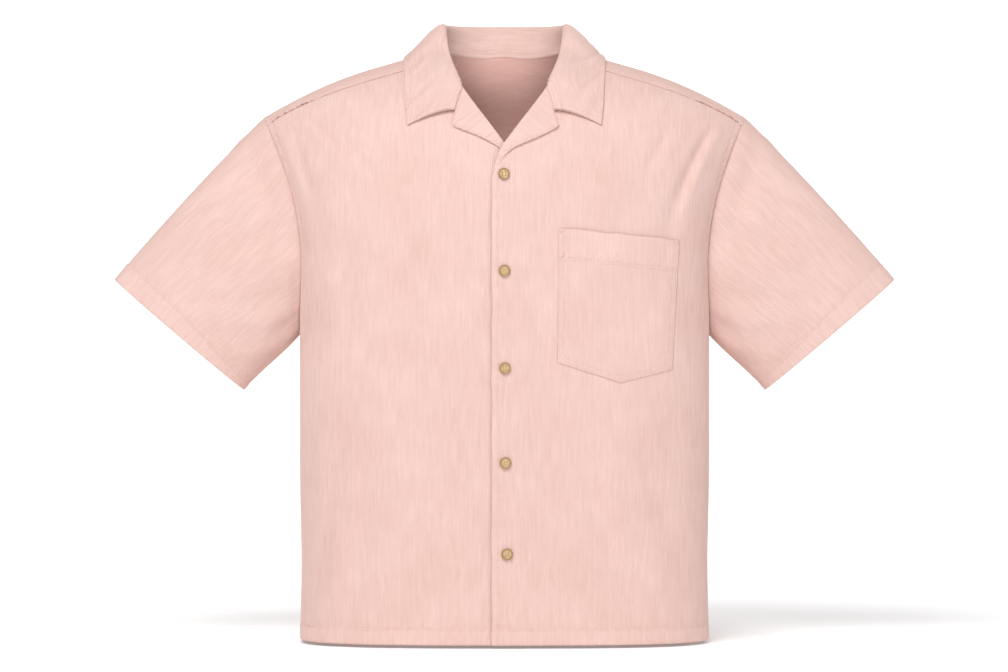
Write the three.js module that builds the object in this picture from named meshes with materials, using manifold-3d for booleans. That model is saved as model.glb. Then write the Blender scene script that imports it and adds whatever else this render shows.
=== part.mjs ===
// Short-sleeved corduroy shirt with a camp collar, worn shape, empty inside.
// Millimetres, +Z up, the front faces -Y, the wearer's left is +X.
// The origin is at the base of the neck, level with the wearer's shoulders.
import * as THREE from "three";
import { mergeVertices } from "three/addons/utils/BufferGeometryUtils.js";
import Module from "manifold-3d";

// Cloth
const WALL = 1.5; // one layer of corduroy
const TURNED_WALL = 2.4; // two layers, turned and pressed: collar and lapels
const SEAM_GAP = 0.5; // between pieces that are sewn together
const YOKE_SEAM_GAP = 0.8; // along the yoke's curved front seam
const LAY_GAP = 0.9; // under a piece that lies on another

// Body of the shirt
const RIDGE_Y = 5; // the shoulder line and the side seams
const FRONT_DEPTH = 128;
const BACK_DEPTH = 122;
const FRONT_ROLL = 230; // height in which the chest rolls over to the shoulder line
const BACK_ROLL = 200;
const SQUARENESS = 3; // exponent of the body's oval section
const CHEST_HALF = 235;
const HEM_Z = -663.5;
const UNDERARM_Z = -315;
const BACK_SEAM_Z = -100;
const FLARE = { from: -250, rise: 181, width: 57, power: 2.2 }; // widening up to the shoulder points
const WAIST = { z: -580, reach: 70, draw: 2 };
const SHOULDER = { top: 34.75, slope: 0.29, round: 15, dropFrom: 150, drop: 0.00126 };

// Armhole, an upright oval on the body's side
const ARMHOLE = { z: -191, halfHeight: 124, halfDepth: 46, power: 0.8 };

// Seam between yoke and fronts: its distance in front of the shoulder line
const YOKE_SEAM = { at: 45, from: 114, reach: 157, fall: 22, power: 2.2 };

// Neck seam from the centre back to the lapel: x, and the angle round the shoulder line, front negative
const NECK = [
  { x: 0, angle: 27 },
  { x: 28, angle: 25.2 },
  { x: 54, angle: 18.15 },
  { x: 71, angle: 9.4 },
  { x: 77, angle: 0 },
  { x: 76, angle: -10.4 },
  { x: 72, angle: -20.7 },
  { x: 66, angle: -31.7 },
  { x: 57, angle: -36.7 },
  { x: 50, angle: -41.9 },
];
const NECK_AT_YOKE_SEAM = 6; // row of NECK where the yoke's front seam starts

// Front edge of each front above the buttons: along the edge, then the line where the lapel turns back
const FRONT_EDGE = [
  { x: -14.6, z: -141 },
  { x: -5, z: -116 },
  { x: 0.7, z: -106.4 },
];
const FRONT_EDGE_X = FRONT_EDGE[0].x;
const ROLL_TOP = { x: 50, z: -39.2 };
const LAP_BLEND = { from: 40, to: 15 }; // the left front rises over the right one between these

// Collar, a row for each section: place on the neck seam, top of the roll, outer edge
const COLLAR = [
  { neck: 0, rollX: 0, rollY: 70, rollZ: 44, edgeX: 0, edgeAngle: 38.9 },
  { neck: 1, rollX: 26, rollY: 67, rollZ: 43.7, edgeX: 45, edgeAngle: 33.9 },
  { neck: 2, rollX: 49, rollY: 50, rollZ: 42.7, edgeX: 82, edgeAngle: 25 },
  { neck: 3, rollX: 64, rollY: 27, rollZ: 41.7, edgeX: 108, edgeAngle: 11.5 },
  { neck: 4, rollX: 68.5, rollY: 5, rollZ: 40.5, edgeX: 118, edgeAngle: 1 },
  { neck: 5, rollX: 66.5, rollY: -17, rollZ: 25, edgeX: 117, edgeAngle: -9.5 },
  { neck: 6, rollX: 63.5, rollY: -35, rollZ: 8, edgeX: 114.5, edgeAngle: -19.5 },
  { neck: 7, rollX: 56, rollY: -62, rollZ: -12, edgeX: 113, edgeAngle: -31 },
  { neck: 8, rollX: 51, rollY: -74, rollZ: -24, edgeX: 112, edgeAngle: -38 },
];
// Beyond the neck the collar lies flat on the front: a row from the gorge seam to the outer edge
const COLLAR_END = [
  { x: 47.5, z: -37.5, edgeX: 111.5, edgeAngle: -42.5 },
  { x: 50.5, z: -46.5, edgeX: 110.5, edgeAngle: -45 },
  { x: 53, z: -54.5, edgeX: 110, edgeAngle: -47.6 },
  { x: 55.3, z: -63, edgeX: 109, edgeAngle: -50.2 },
];
const COLLAR_LIFT = 4.8; // of the collar's and lapels' outer face over the cloth below
const ROLL_RADIUS = 3.6;
const END_RADIUS = { outer: 0.6, inner: 0.2 }; // of the flat ends' inner edge
const END_STEP = 0.2; // from that edge's lower corner up to its outer face

// Lapels, a row for each section: where the lapel rolls, and its outer edge
const LEFT_LAPEL = [
  { x: -2.5, z: -104, edgeX: 5.5, edgeZ: -110 },
  { x: 3, z: -96.5, edgeX: 12, edgeZ: -106.5 },
  { x: 11, z: -85.5, edgeX: 24, edgeZ: -101 },
  { x: 20, z: -73.5, edgeX: 38, edgeZ: -94.5 },
  { x: 29, z: -61.5, edgeX: 52, edgeZ: -87 },
  { x: 37, z: -50.5, edgeX: 60.5, edgeZ: -81 },
  { x: 42, z: -43.5, edgeX: 56, edgeZ: -73.5 },
  { x: 45.2, z: -38, edgeX: 53, edgeZ: -64.6 },
];
const RIGHT_LAPEL = [
  { x: 3, z: -96.5, edgeX: 6.5, edgeZ: -102.5 },
  { x: 8, z: -89.5, edgeX: 13.5, edgeZ: -98.5 },
  { x: 14, z: -81.5, edgeX: 24, edgeZ: -95 },
  { x: 21, z: -72, edgeX: 36, edgeZ: -90.5 },
  { x: 29, z: -61.5, edgeX: 48, edgeZ: -85.5 },
  { x: 36, z: -52, edgeX: 57.5, edgeZ: -79 },
  { x: 41, z: -45, edgeX: 56, edgeZ: -71 },
  { x: 45.2, z: -38, edgeX: 53, edgeZ: -64.6 },
];
const LAPEL_ROLL_LIFT = 3.3; // of a lapel's outer face at the roll

// Sleeves
const CUFF = { x: 374.6, z: -315.6, half: 98, depth: 36, upX: 0.761, upZ: 0.649 };
const SLEEVE_ROWS = 10;
const SLEEVE_GAP = 0.7; // sleeve head to armhole

// Pocket on the left front
const POCKET = {
  topX0: 60,
  topZ0: -196,
  topX1: 197,
  topZ1: -209,
  lowX0: 59,
  lowZ0: -347,
  lowX1: 189,
  lowZ1: -355,
};
const POCKET_TIP = { x: 130, z: -370 };

// Buttons on the left front's edge band
const BUTTONS = [
  { x: -0.6, z: -136 },
  { x: 0, z: -244 },
  { x: 0.6, z: -353 },
  { x: 1.2, z: -459 },
  { x: 2.9, z: -561 },
];
const BUTTON = { radius: 6.6, thick: 2.8, rim: 1.5, dish: 0.8, hole: 0.75, holeAt: 1.55, gap: 0.4 };

// Largest folds in the body, a row for each: middle, direction, half length, half width, depth inwards
const FOLDS = [
  { side: -1, x: -226, z: -138, lean: -0.15, length: 42, width: 9, depth: 3.5 },
  { side: -1, x: 219, z: -104, lean: 0.5, length: 26, width: 8, depth: 3 },
  { side: -1, x: -150, z: -520, lean: 0.35, length: 110, width: 26, depth: 3 },
  { side: -1, x: 165, z: -540, lean: -0.2, length: 90, width: 28, depth: 2.5 },
  { side: -1, x: -95, z: -250, lean: 0.1, length: 120, width: 34, depth: 2 },
  { side: 1, x: -120, z: -260, lean: 0.25, length: 120, width: 24, depth: 3.5 },
  { side: 1, x: 135, z: -240, lean: -0.3, length: 110, width: 22, depth: 3 },
  { side: 1, x: 20, z: -480, lean: 0.12, length: 130, width: 30, depth: 3 },
  { side: 1, x: -185, z: -520, lean: -0.2, length: 90, width: 22, depth: 2.5 },
];

// Folds in the sleeves, a row for each: place along the sleeve and round it, reach of both, depth
const SLEEVE_FOLDS = [
  { along: 0.14, round: 1.0, alongReach: 0.06, roundReach: 0.5, depth: 4 },
  { along: 0.4, round: 1.15, alongReach: 0.09, roundReach: 0.35, depth: 2.5 },
  { along: 0.16, round: 5.2, alongReach: 0.07, roundReach: 0.5, depth: 4 },
  { along: 0.5, round: 4.9, alongReach: 0.1, roundReach: 0.4, depth: 2.5 },
];

const COLOURS = { cloth: 0xf4d0c7, facing: 0xf0c9bf, button: 0xd6b482 };
const cloth = () => new THREE.MeshStandardMaterial({ color: COLOURS.cloth, roughness: 0.95 });
const facing = () => new THREE.MeshStandardMaterial({ color: COLOURS.facing, roughness: 0.95 });
const horn = () => new THREE.MeshStandardMaterial({ color: COLOURS.button, roughness: 0.35 });

const shirt = new THREE.Group();
const lerp = THREE.MathUtils.lerp;
const radians = THREE.MathUtils.degToRad;
const steps = (count) => Array.from({ length: count + 1 }, (_, i) => i / count);

// Adds one named piece
function add(name, geometry, material) {
  geometry.computeVertexNormals();
  const mesh = new THREE.Mesh(geometry, material);
  mesh.name = name;
  shirt.add(mesh);
}

// The body's surface

// Half the body's width at a height
function halfWidth(z) {
  const rise = Math.max(0, z - FLARE.from) / FLARE.rise;
  const draw = WAIST.draw * Math.exp(-(((z - WAIST.z) / WAIST.reach) ** 2));
  return CHEST_HALF + FLARE.width * rise ** FLARE.power - draw;
}

// Height of the shoulder line
function ridgeZ(x) {
  const over = Math.max(0, Math.abs(x) - SHOULDER.dropFrom);
  return SHOULDER.top - SHOULDER.slope * Math.hypot(x, SHOULDER.round) - SHOULDER.drop * over ** 2;
}

// Angle round the shoulder line, past a quarter turn as height below the roll, of a point at x and z
function angleAt(x, z, side) {
  const roll = side < 0 ? FRONT_ROLL : BACK_ROLL;
  const down = Math.max(0, ridgeZ(x) - z);
  return side * (down < roll ? Math.acos(1 - down / roll) : Math.PI / 2 + (down - roll) / roll);
}

// Depth of the troughs at a place on the front (side -1) or back (side 1)
function foldAt(x, z, side) {
  let depth = 0;
  for (const fold of FOLDS) {
    if (fold.side !== side) continue;
    const dx = x - fold.x - fold.lean * (z - fold.z);
    const dz = z - fold.z;
    depth += fold.depth * Math.exp(-((dx / fold.width) ** 2) - (dz / fold.length) ** 2);
  }
  const across = Math.min(1, Math.abs(x) / halfWidth(z));
  return depth * (1 - across ** 6);
}

// Distance of the surface from the shoulder plane, without folds
function depthAt(x, angle) {
  const side = angle < 0 ? -1 : 1;
  const roll = side < 0 ? FRONT_ROLL : BACK_ROLL;
  const turn = Math.min(Math.abs(angle), Math.PI / 2);
  const z = ridgeZ(x) - roll * (1 - Math.cos(turn) + Math.abs(angle) - turn);
  const across = Math.min(1, Math.abs(x) / halfWidth(z));
  const depth = (side < 0 ? FRONT_DEPTH : BACK_DEPTH) * Math.sin(turn);
  return { z, depth: depth * (1 - across ** SQUARENESS) ** (1 / SQUARENESS) };
}

function onBody(x, angle) {
  const side = angle < 0 ? -1 : 1;
  const { z, depth } = depthAt(x, angle);
  const fold = Math.min(depth, foldAt(x, z, side));
  return new THREE.Vector3(x, RIDGE_Y + side * (depth - fold), z);
}

// A point on the body moved out along the surface's normal
function lifted(x, angle, lift) {
  const point = onBody(x, angle);
  if (lift === 0) return point;
  const step = 0.5;
  const turn = 0.004;
  const alongX = onBody(x + step, angle).sub(onBody(x - step, angle));
  const alongTurn = onBody(x, angle + turn).sub(onBody(x, angle - turn));
  const normal = alongX.cross(alongTurn).normalize();
  return point.addScaledVector(normal, lift);
}

const onSide = (x, z, side, lift = 0) => lifted(x, angleAt(x, z, side), lift);

// How far the left front is lifted where it laps over the right one
function lapLift(x) {
  const t = THREE.MathUtils.clamp((LAP_BLEND.from - x) / (LAP_BLEND.from - LAP_BLEND.to), 0, 1);
  return (WALL + LAY_GAP) * t * t * (3 - 2 * t);
}

// Seam lines

// Point of the armhole at a turn from the top: the front half first, then the back half
function armhole(turn) {
  const c = Math.cos(turn);
  const s = Math.sin(turn);
  const side = s >= 0 ? -1 : 1;
  const z = ARMHOLE.z + ARMHOLE.halfHeight * Math.sign(c) * Math.abs(c) ** ARMHOLE.power;
  const depth = ARMHOLE.halfDepth * Math.abs(s) ** ARMHOLE.power;
  let low = CHEST_HALF / 2;
  let high = CHEST_HALF + FLARE.width;
  for (let i = 0; i < 50; i += 1) {
    const x = (low + high) / 2;
    const found = z < ridgeZ(x) && x < halfWidth(z) ? depthAt(x, angleAt(x, z, side)).depth : 0;
    if (found > depth) low = x;
    else high = x;
  }
  return { x: low, z, side, depth };
}

// Angle of the yoke's front seam at x, moved forwards by an allowance
function yokeSeamAngle(x, allowance) {
  const reach = Math.max(0, x - YOKE_SEAM.from) / YOKE_SEAM.reach;
  const ahead = YOKE_SEAM.at - YOKE_SEAM.fall * reach ** YOKE_SEAM.power + allowance;
  let angle = -0.3;
  for (let i = 0; i < 30; i += 1) {
    const full = depthAt(x, angle).depth / Math.sin(-angle);
    angle = -Math.asin(Math.min(1, ahead / full));
  }
  return angle;
}

// Turn of the armhole where a test changes sign
function armholeTurn(from, to, test) {
  let low = from;
  let high = to;
  for (let i = 0; i < 40; i += 1) {
    const middle = (low + high) / 2;
    if (test(armhole(middle))) low = middle;
    else high = middle;
  }
  return low;
}
const FRONT_CORNER = armholeTurn(0.05, 1.2, (p) => angleAt(p.x, p.z, -1) > yokeSeamAngle(p.x, 0));
const BACK_CORNER = -armholeTurn(0.05, 1.5, (p) => p.z > BACK_SEAM_Z);

// Shared cuts round the armhole, so that pieces meet point to point
const FRONT_CELLS = 12;
const BACK_CELLS = 9;
const YOKE_FRONT_CELLS = 3;
const YOKE_BACK_CELLS = 5;
const frontTurns = steps(FRONT_CELLS).map((t) => lerp(Math.PI, FRONT_CORNER, t));
const backTurns = steps(BACK_CELLS).map((t) => lerp(-Math.PI, BACK_CORNER, t));
const yokeTurns = [
  ...steps(YOKE_BACK_CELLS).map((t) => lerp(BACK_CORNER, 0, t)),
  ...steps(YOKE_FRONT_CELLS).slice(1).map((t) => lerp(0, FRONT_CORNER, t)),
];

// Neck seam at a row number of NECK, in between by a smooth curve
const neckCurve = new THREE.CatmullRomCurve3(
  [
    ...NECK.slice(1).reverse().map((p) => new THREE.Vector3(-p.x, p.angle, 0)),
    ...NECK.map((p) => new THREE.Vector3(p.x, p.angle, 0)),
  ],
  false,
  "catmullrom",
);
function neckAt(row) {
  const last = NECK.length - 1;
  const p = neckCurve.getPoint((row + last) / (2 * last));
  return { x: p.x, angle: radians(p.y) };
}

// Walls

// Closed body between two grids of points, rows by columns; a ring's columns join up
function shell(face, back, ring = false) {
  const rows = face.length;
  const cols = face[0].length;
  const at = (layer, i, j) => (layer * rows + i) * cols + (j % cols);
  const points = [...face.flat(), ...back.flat()];
  const index = [];
  const quad = (a, b, c, d) => index.push(a, b, c, a, c, d);
  const span = ring ? cols : cols - 1;
  for (let i = 0; i < rows - 1; i += 1) {
    for (let j = 0; j < span; j += 1) {
      quad(at(0, i, j), at(0, i, j + 1), at(0, i + 1, j + 1), at(0, i + 1, j));
      quad(at(1, i, j), at(1, i + 1, j), at(1, i + 1, j + 1), at(1, i, j + 1));
    }
  }
  for (let j = 0; j < span; j += 1) {
    quad(at(1, 0, j), at(1, 0, j + 1), at(0, 0, j + 1), at(0, 0, j));
    quad(at(0, rows - 1, j), at(0, rows - 1, j + 1), at(1, rows - 1, j + 1), at(1, rows - 1, j));
  }
  if (!ring) {
    for (let i = 0; i < rows - 1; i += 1) {
      quad(at(0, i, 0), at(0, i + 1, 0), at(1, i + 1, 0), at(1, i, 0));
      quad(at(1, i, cols - 1), at(1, i + 1, cols - 1), at(0, i + 1, cols - 1), at(0, i, cols - 1));
    }
  }
  let volume = 0;
  for (let k = 0; k < index.length; k += 3) {
    const [a, b, c] = [points[index[k]], points[index[k + 1]], points[index[k + 2]]];
    volume += a.dot(b.clone().cross(c));
  }
  if (volume < 0) index.reverse();
  const geometry = new THREE.BufferGeometry();
  geometry.setAttribute("position", new THREE.Float32BufferAttribute(points.flatMap((p) => p.toArray()), 3));
  geometry.setIndex(index);
  return geometry;
}

// Wall of even thickness behind a face grid; outward(p, i, j) points roughly out of the face
function wall(face, thickness, outward, ring = false) {
  const rows = face.length;
  const cols = face[0].length;
  const back = face.map((row, i) =>
    row.map((p, j) => {
      const left = ring ? row[(j + cols - 1) % cols] : row[Math.max(0, j - 1)];
      const right = ring ? row[(j + 1) % cols] : row[Math.min(cols - 1, j + 1)];
      const across = right.clone().sub(left);
      const along = face[Math.min(rows - 1, i + 1)][j].clone().sub(face[Math.max(0, i - 1)][j]);
      const normal = across.cross(along).normalize();
      if (normal.dot(outward(p, i, j)) < 0) normal.negate();
      return p.clone().addScaledVector(normal, -thickness);
    }),
  );
  return shell(face, back, ring);
}

// Wall of a body panel from a grid of places { x, angle, lift }; seamY moves a place at the side seam
function panel(places, thickness = WALL) {
  const layer = (depth) =>
    places.map((row) =>
      row.map(({ x, angle, lift = 0, seamY = 0 }) => {
        const p = lifted(x, angle, lift - depth);
        p.y += seamY;
        return p;
      }),
    );
  return shell(layer(0), layer(thickness));
}

// Evenly spaced points of a finely sampled line; the first few stand at given distances
function spaced(fine, cells, first = []) {
  const lengths = [0];
  for (let i = 1; i < fine.length; i += 1) {
    lengths.push(lengths[i - 1] + fine[i].point.distanceTo(fine[i - 1].point));
  }
  const total = lengths[lengths.length - 1];
  const start = first.length ? first[first.length - 1] : 0;
  const rest = cells - first.length;
  const wanted = [0, ...first, ...steps(rest).slice(1).map((t) => lerp(start, total, t))];
  return wanted.map((length) => {
    const k = Math.max(1, lengths.findIndex((l) => l >= length - 1e-9));
    const t = (length - lengths[k - 1]) / (lengths[k] - lengths[k - 1]);
    return { x: lerp(fine[k - 1].x, fine[k].x, t), z: lerp(fine[k - 1].z, fine[k].z, t) };
  });
}

// Fronts
const FRONT_COLUMNS = 17;
const PLACKET_STEPS = [9, 20, 30, 42, 56]; // first columns, from the front edge
const LOWER_ROWS = 12;
const ROW_BEND = 4; // rows beside the armhole turn down to it in their last stretch
const FINE = 300;

// Upper part of a front's inner edge: front edge, roll line, neck seam
function frontEdge() {
  const straight = steps(4).map((t) => ({ x: FRONT_EDGE_X, z: lerp(UNDERARM_Z, FRONT_EDGE[0].z, t) }));
  const low = FRONT_EDGE[2];
  const roll = steps(3).map((t) => ({ x: lerp(low.x, ROLL_TOP.x, t), z: lerp(low.z, ROLL_TOP.z, t) }));
  const neck = steps(3).slice(1).map((t) => {
    const p = neckAt(lerp(NECK.length - 1, NECK_AT_YOKE_SEAM, t));
    return { x: p.x, z: depthAt(p.x, p.angle).z };
  });
  return [...straight, FRONT_EDGE[1], ...roll, ...neck];
}

// Rise of the yoke seam over a straight line between its ends
function seamRise(fraction, start, end) {
  const x = lerp(start.x, end.x, fraction);
  return depthAt(x, yokeSeamAngle(x, YOKE_SEAM_GAP / 2)).z - lerp(start.z, end.z, fraction);
}

// Face of a front; hand is 1 for the wearer's left, -1 for the right
function frontGrid(hand) {
  const edge = frontEdge();
  const rows = [];
  for (const t of steps(LOWER_ROWS).slice(0, -1)) {
    const z = lerp(HEM_Z, UNDERARM_Z, t);
    rows.push({ start: { x: FRONT_EDGE_X, z }, end: { x: halfWidth(z), z }, rise: 0 });
  }
  frontTurns.forEach((turn, i) => {
    rows.push({ start: edge[i], end: armhole(turn), rise: (i / FRONT_CELLS) ** 2 });
  });
  const bend = (i) => (i < LOWER_ROWS ? 1 : lerp(ROW_BEND, 1, (i - LOWER_ROWS) / FRONT_CELLS));
  const top = rows[rows.length - 1];
  for (const end of ["start", "end"]) {
    const { x } = top[end];
    top[end] = { x, z: depthAt(x, yokeSeamAngle(x, YOKE_SEAM_GAP / 2)).z };
  }
  return rows.map(({ start, end, rise }, i) => {
    const fine = steps(FINE).map((q) => {
      const f = 1 - (1 - q) ** 3;
      const x = lerp(start.x, end.x, f);
      const z = lerp(start.z, end.z, f ** bend(i)) + (rise ? rise * seamRise(f, top.start, top.end) : 0);
      return { x, z, point: onSide(hand * x, z, -1) };
    });
    return spaced(fine, FRONT_COLUMNS, PLACKET_STEPS).map(({ x, z }, j) => ({
      x: hand * x,
      angle: angleAt(x, z, -1),
      lift: hand > 0 ? lapLift(x) : 0,
      seamY: i <= LOWER_ROWS && j === FRONT_COLUMNS ? -SEAM_GAP / 2 : 0,
    }));
  });
}

add("left_front", panel(frontGrid(1)), cloth());
add("right_front", panel(frontGrid(-1)), cloth());

// Back
const BACK_COLUMNS = 22;
function backGrid() {
  const rows = steps(LOWER_ROWS).slice(0, -1).map((t) => {
    const z = lerp(HEM_Z, UNDERARM_Z, t);
    return { x: halfWidth(z), z };
  });
  for (const turn of backTurns) rows.push(armhole(turn));
  return rows.map((end, i) => {
    const up = Math.max(0, i - LOWER_ROWS) / BACK_CELLS;
    const middleZ = i < LOWER_ROWS ? end.z : lerp(UNDERARM_Z, BACK_SEAM_Z, up);
    const fine = steps(2 * FINE).map((t) => {
      const q = 2 * t - 1;
      const out = 1 - (1 - Math.abs(q)) ** 3;
      const x = end.x * Math.sign(q) * out;
      const z = lerp(middleZ, end.z, out ** ROW_BEND) - (up === 1 ? SEAM_GAP / 2 : 0);
      return { x, z, point: onSide(x, z, 1) };
    });
    return spaced(fine, BACK_COLUMNS).map(({ x, z }, j) => ({
      x,
      angle: angleAt(x, z, 1),
      seamY: i <= LOWER_ROWS && j % BACK_COLUMNS === 0 ? SEAM_GAP / 2 : 0,
    }));
  });
}
add("back", panel(backGrid()), cloth());

// Yoke: lines fanned from the neck seam to the back seam and the armhole
const YOKE_ROWS = 8;
const YOKE_SEAM_CELLS = 9; // along half of the back seam
function yokeGrid() {
  const corner = armhole(BACK_CORNER);
  const outer = steps(YOKE_SEAM_CELLS).map((t) => {
    const x = corner.x * t;
    return { x, angle: angleAt(x, BACK_SEAM_Z + SEAM_GAP / 2, 1) };
  });
  for (const turn of yokeTurns.slice(1)) {
    const p = armhole(turn);
    outer.push({ x: p.x, angle: turn < 0 ? angleAt(p.x, p.z, 1) : angleAt(p.x, p.z, -1) });
  }
  const last = outer[outer.length - 1];
  last.angle = yokeSeamAngle(last.x, -YOKE_SEAM_GAP / 2);
  const count = outer.length - 1;
  const half = outer.map((out, k) => {
    const neck = neckAt((NECK_AT_YOKE_SEAM * k) / count);
    return steps(YOKE_ROWS).map((t) => {
      const x = lerp(neck.x, out.x, t);
      const angle = k === count ? yokeSeamAngle(x, -YOKE_SEAM_GAP / 2) : lerp(neck.angle, out.angle, t);
      return { x, angle };
    });
  });
  const right = half.map((line) => line.map(({ x, angle }) => ({ x: -x, angle })));
  return [...right.slice(1).reverse(), ...half];
}
add("yoke", panel(yokeGrid()), cloth());

// Sleeves: rings carried from the armhole to the cuff
const SLEEVE_TURNS = [
  ...steps(YOKE_FRONT_CELLS).slice(0, -1).map((t) => lerp(0, FRONT_CORNER, t)),
  ...frontTurns.slice().reverse().slice(0, -1),
  ...backTurns.slice(0, -1).map((turn) => turn + 2 * Math.PI),
  ...yokeTurns.slice(0, YOKE_BACK_CELLS).map((turn) => turn + 2 * Math.PI),
];
const SLEEVE_AXIS = new THREE.Vector3(CUFF.upZ, 0, -CUFF.upX);

function sleeveFold(along, turn) {
  let depth = 0;
  for (const fold of SLEEVE_FOLDS) {
    const dAlong = (along - fold.along) / fold.alongReach;
    const dRound = (turn - fold.round) / fold.roundReach;
    depth += fold.depth * Math.exp(-(dAlong ** 2) - dRound ** 2);
  }
  return depth;
}

function sleeveGrid(hand) {
  return steps(SLEEVE_ROWS).map((along) => {
    const ring = SLEEVE_TURNS.map((turn) => {
      const hole = armhole(turn);
      const start = onSide(hand * hole.x, hole.z, hole.side);
      start.x *= hand;
      const leave = SLEEVE_AXIS.clone();
      leave.z += 0.12 * Math.max(0, Math.cos(turn));
      start.addScaledVector(leave, SLEEVE_GAP);
      const c = CUFF.half * Math.cos(turn);
      const end = new THREE.Vector3(
        CUFF.x + CUFF.upX * c,
        RIDGE_Y - CUFF.depth * Math.sin(turn),
        CUFF.z + CUFF.upZ * c,
      );
      const reach = start.distanceTo(end);
      const arrive = SLEEVE_AXIS.clone().multiplyScalar(reach);
      return hermite(start, leave.multiplyScalar(reach), end, arrive, along);
    });
    const middle = ring.reduce((sum, p) => sum.add(p), new THREE.Vector3()).divideScalar(ring.length);
    return ring.map((p, k) => {
      const inwards = middle.clone().sub(p).normalize();
      p.addScaledVector(inwards, sleeveFold(along, SLEEVE_TURNS[k]));
      p.x *= hand;
      return p;
    });
  });
}

// Smooth curve between two points with given directions
function hermite(a, da, b, db, t) {
  const [t2, t3] = [t * t, t * t * t];
  return new THREE.Vector3()
    .addScaledVector(a, 2 * t3 - 3 * t2 + 1)
    .addScaledVector(da, t3 - 2 * t2 + t)
    .addScaledVector(b, 3 * t2 - 2 * t3)
    .addScaledVector(db, t3 - t2);
}

for (const [name, hand] of [["left_sleeve", 1], ["right_sleeve", -1]]) {
  const grid = sleeveGrid(hand);
  const centres = grid.map((ring) =>
    ring.reduce((sum, p) => sum.add(p), new THREE.Vector3()).divideScalar(ring.length),
  );
  add(name, wall(grid, WALL, (p, i) => p.clone().sub(centres[i]), true), cloth());
}

// Section of the collar: from its foot up to the top of the roll, and on to its outer edge
const STAND_STEPS = [0, 0.4, 0.75, 1];
const LEAF_STEPS = [0.07, 0.17, 0.34, 0.55, 0.78, 1];
function bentSection(foot, roll, edge, radius) {
  const down = foot.clone().sub(roll);
  const leaf = edge.clone().sub(roll);
  const over = leaf.clone().normalize().sub(down.clone().normalize()).normalize();
  const bend = (v) => {
    const along = Math.abs(v.dot(over));
    const drop = Math.sqrt(Math.max(0, v.lengthSq() - along ** 2));
    return Math.sqrt(4 * drop * radius) + along / 2;
  };
  const stand = STAND_STEPS.map((t) =>
    hermite(foot, down.clone().negate(), roll, over.clone().multiplyScalar(bend(down)), t),
  );
  const fall = LEAF_STEPS.map((t) =>
    hermite(roll, over.clone().multiplyScalar(bend(leaf)), edge, leaf.clone().multiplyScalar(0.9), t),
  );
  return [...stand, ...fall];
}

// Collar: half of its sections from the centre back, then both halves with smooth ones between
const COLLAR_CELLS = 40;
const COLLAR_FOOT_GAP = SEAM_GAP + 0.2;

// One face of the collar, a depth below its outer one
function collarFace(depth) {
  const radius = ROLL_RADIUS - depth;
  const lift = COLLAR_LIFT - depth;
  const half = COLLAR.map((row) => {
    const neck = neckAt(row.neck);
    const seam = onBody(neck.x, neck.angle);
    const roll = new THREE.Vector3(row.rollX, row.rollY, row.rollZ);
    const edge = lifted(row.edgeX, radians(row.edgeAngle), lift);
    const up = roll.clone().sub(seam).normalize();
    const leaf = edge.clone().sub(roll);
    const out = leaf.addScaledVector(up, -leaf.dot(up)).normalize();
    const foot = seam.addScaledVector(up, COLLAR_FOOT_GAP).addScaledVector(out, depth - TURNED_WALL);
    return bentSection(foot, roll.addScaledVector(up, -depth), edge, radius);
  });
  for (const row of COLLAR_END) {
    const edge = lifted(row.edgeX, radians(row.edgeAngle), lift);
    if (depth === 0) {
      const foot = onSide(row.x, row.z, -1, lift - TURNED_WALL + END_STEP);
      const roll = onSide(row.x, row.z, -1, lift).lerp(edge, 0.01);
      half.push(bentSection(foot, roll, edge, END_RADIUS.outer));
    } else {
      const low = onSide(row.x, row.z, -1, lift);
      const foot = low.clone().lerp(edge, 0.015);
      half.push(bentSection(foot, low.lerp(edge, 0.035), edge, END_RADIUS.inner));
    }
  }
  const mirror = half.slice(1).reverse().map((row) => row.map((p) => new THREE.Vector3(-p.x, p.y, p.z)));
  const all = [...mirror, ...half];
  const curves = all[0].map((_, j) => {
    const line = all.map((row) => row[j]);
    return new THREE.CatmullRomCurve3(line, false, "catmullrom");
  });
  return steps(COLLAR_CELLS).map((t) => curves.map((curve) => curve.getPoint(t)));
}
add("collar", shell(collarFace(0), collarFace(TURNED_WALL)), facing());

// Lapels: the top of each front and its facing, turned back and laid on the front
const LAPEL_STEPS = [0, 0.12, 0.3, 0.5, 0.75, 1];
function lapelGrid(table, hand) {
  return table.map((row) =>
    LAPEL_STEPS.map((t) => {
      const x = lerp(row.x, row.edgeX, t);
      const z = lerp(row.z, row.edgeZ, t);
      const lift = lerp(LAPEL_ROLL_LIFT, COLLAR_LIFT, t) + (hand > 0 ? lapLift(x) : 0);
      return { x: hand * x, angle: angleAt(x, z, -1), lift };
    }),
  );
}
add("left_lapel", panel(lapelGrid(LEFT_LAPEL, 1), TURNED_WALL), facing());
add("right_lapel", panel(lapelGrid(RIGHT_LAPEL, -1), TURNED_WALL), facing());

// Pocket: laid on the left front, its lower edge falls to a point
const POCKET_COLUMNS = 10;
const POCKET_ROWS = 8;
function pocketGrid() {
  return steps(POCKET_ROWS).map((down) =>
    steps(POCKET_COLUMNS).map((across) => {
      const topX = lerp(POCKET.topX0, POCKET.topX1, across);
      const topZ = lerp(POCKET.topZ0, POCKET.topZ1, across);
      const x = lerp(POCKET.lowX0, POCKET.lowX1, across);
      const z =
        x < POCKET_TIP.x
          ? THREE.MathUtils.mapLinear(x, POCKET.lowX0, POCKET_TIP.x, POCKET.lowZ0, POCKET_TIP.z)
          : THREE.MathUtils.mapLinear(x, POCKET_TIP.x, POCKET.lowX1, POCKET_TIP.z, POCKET.lowZ1);
      const place = { x: lerp(topX, x, down), z: lerp(topZ, z, down) };
      return { x: place.x, angle: angleAt(place.x, place.z, -1), lift: LAY_GAP + WALL };
    }),
  );
}
add("pocket", panel(pocketGrid()), cloth());

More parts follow.
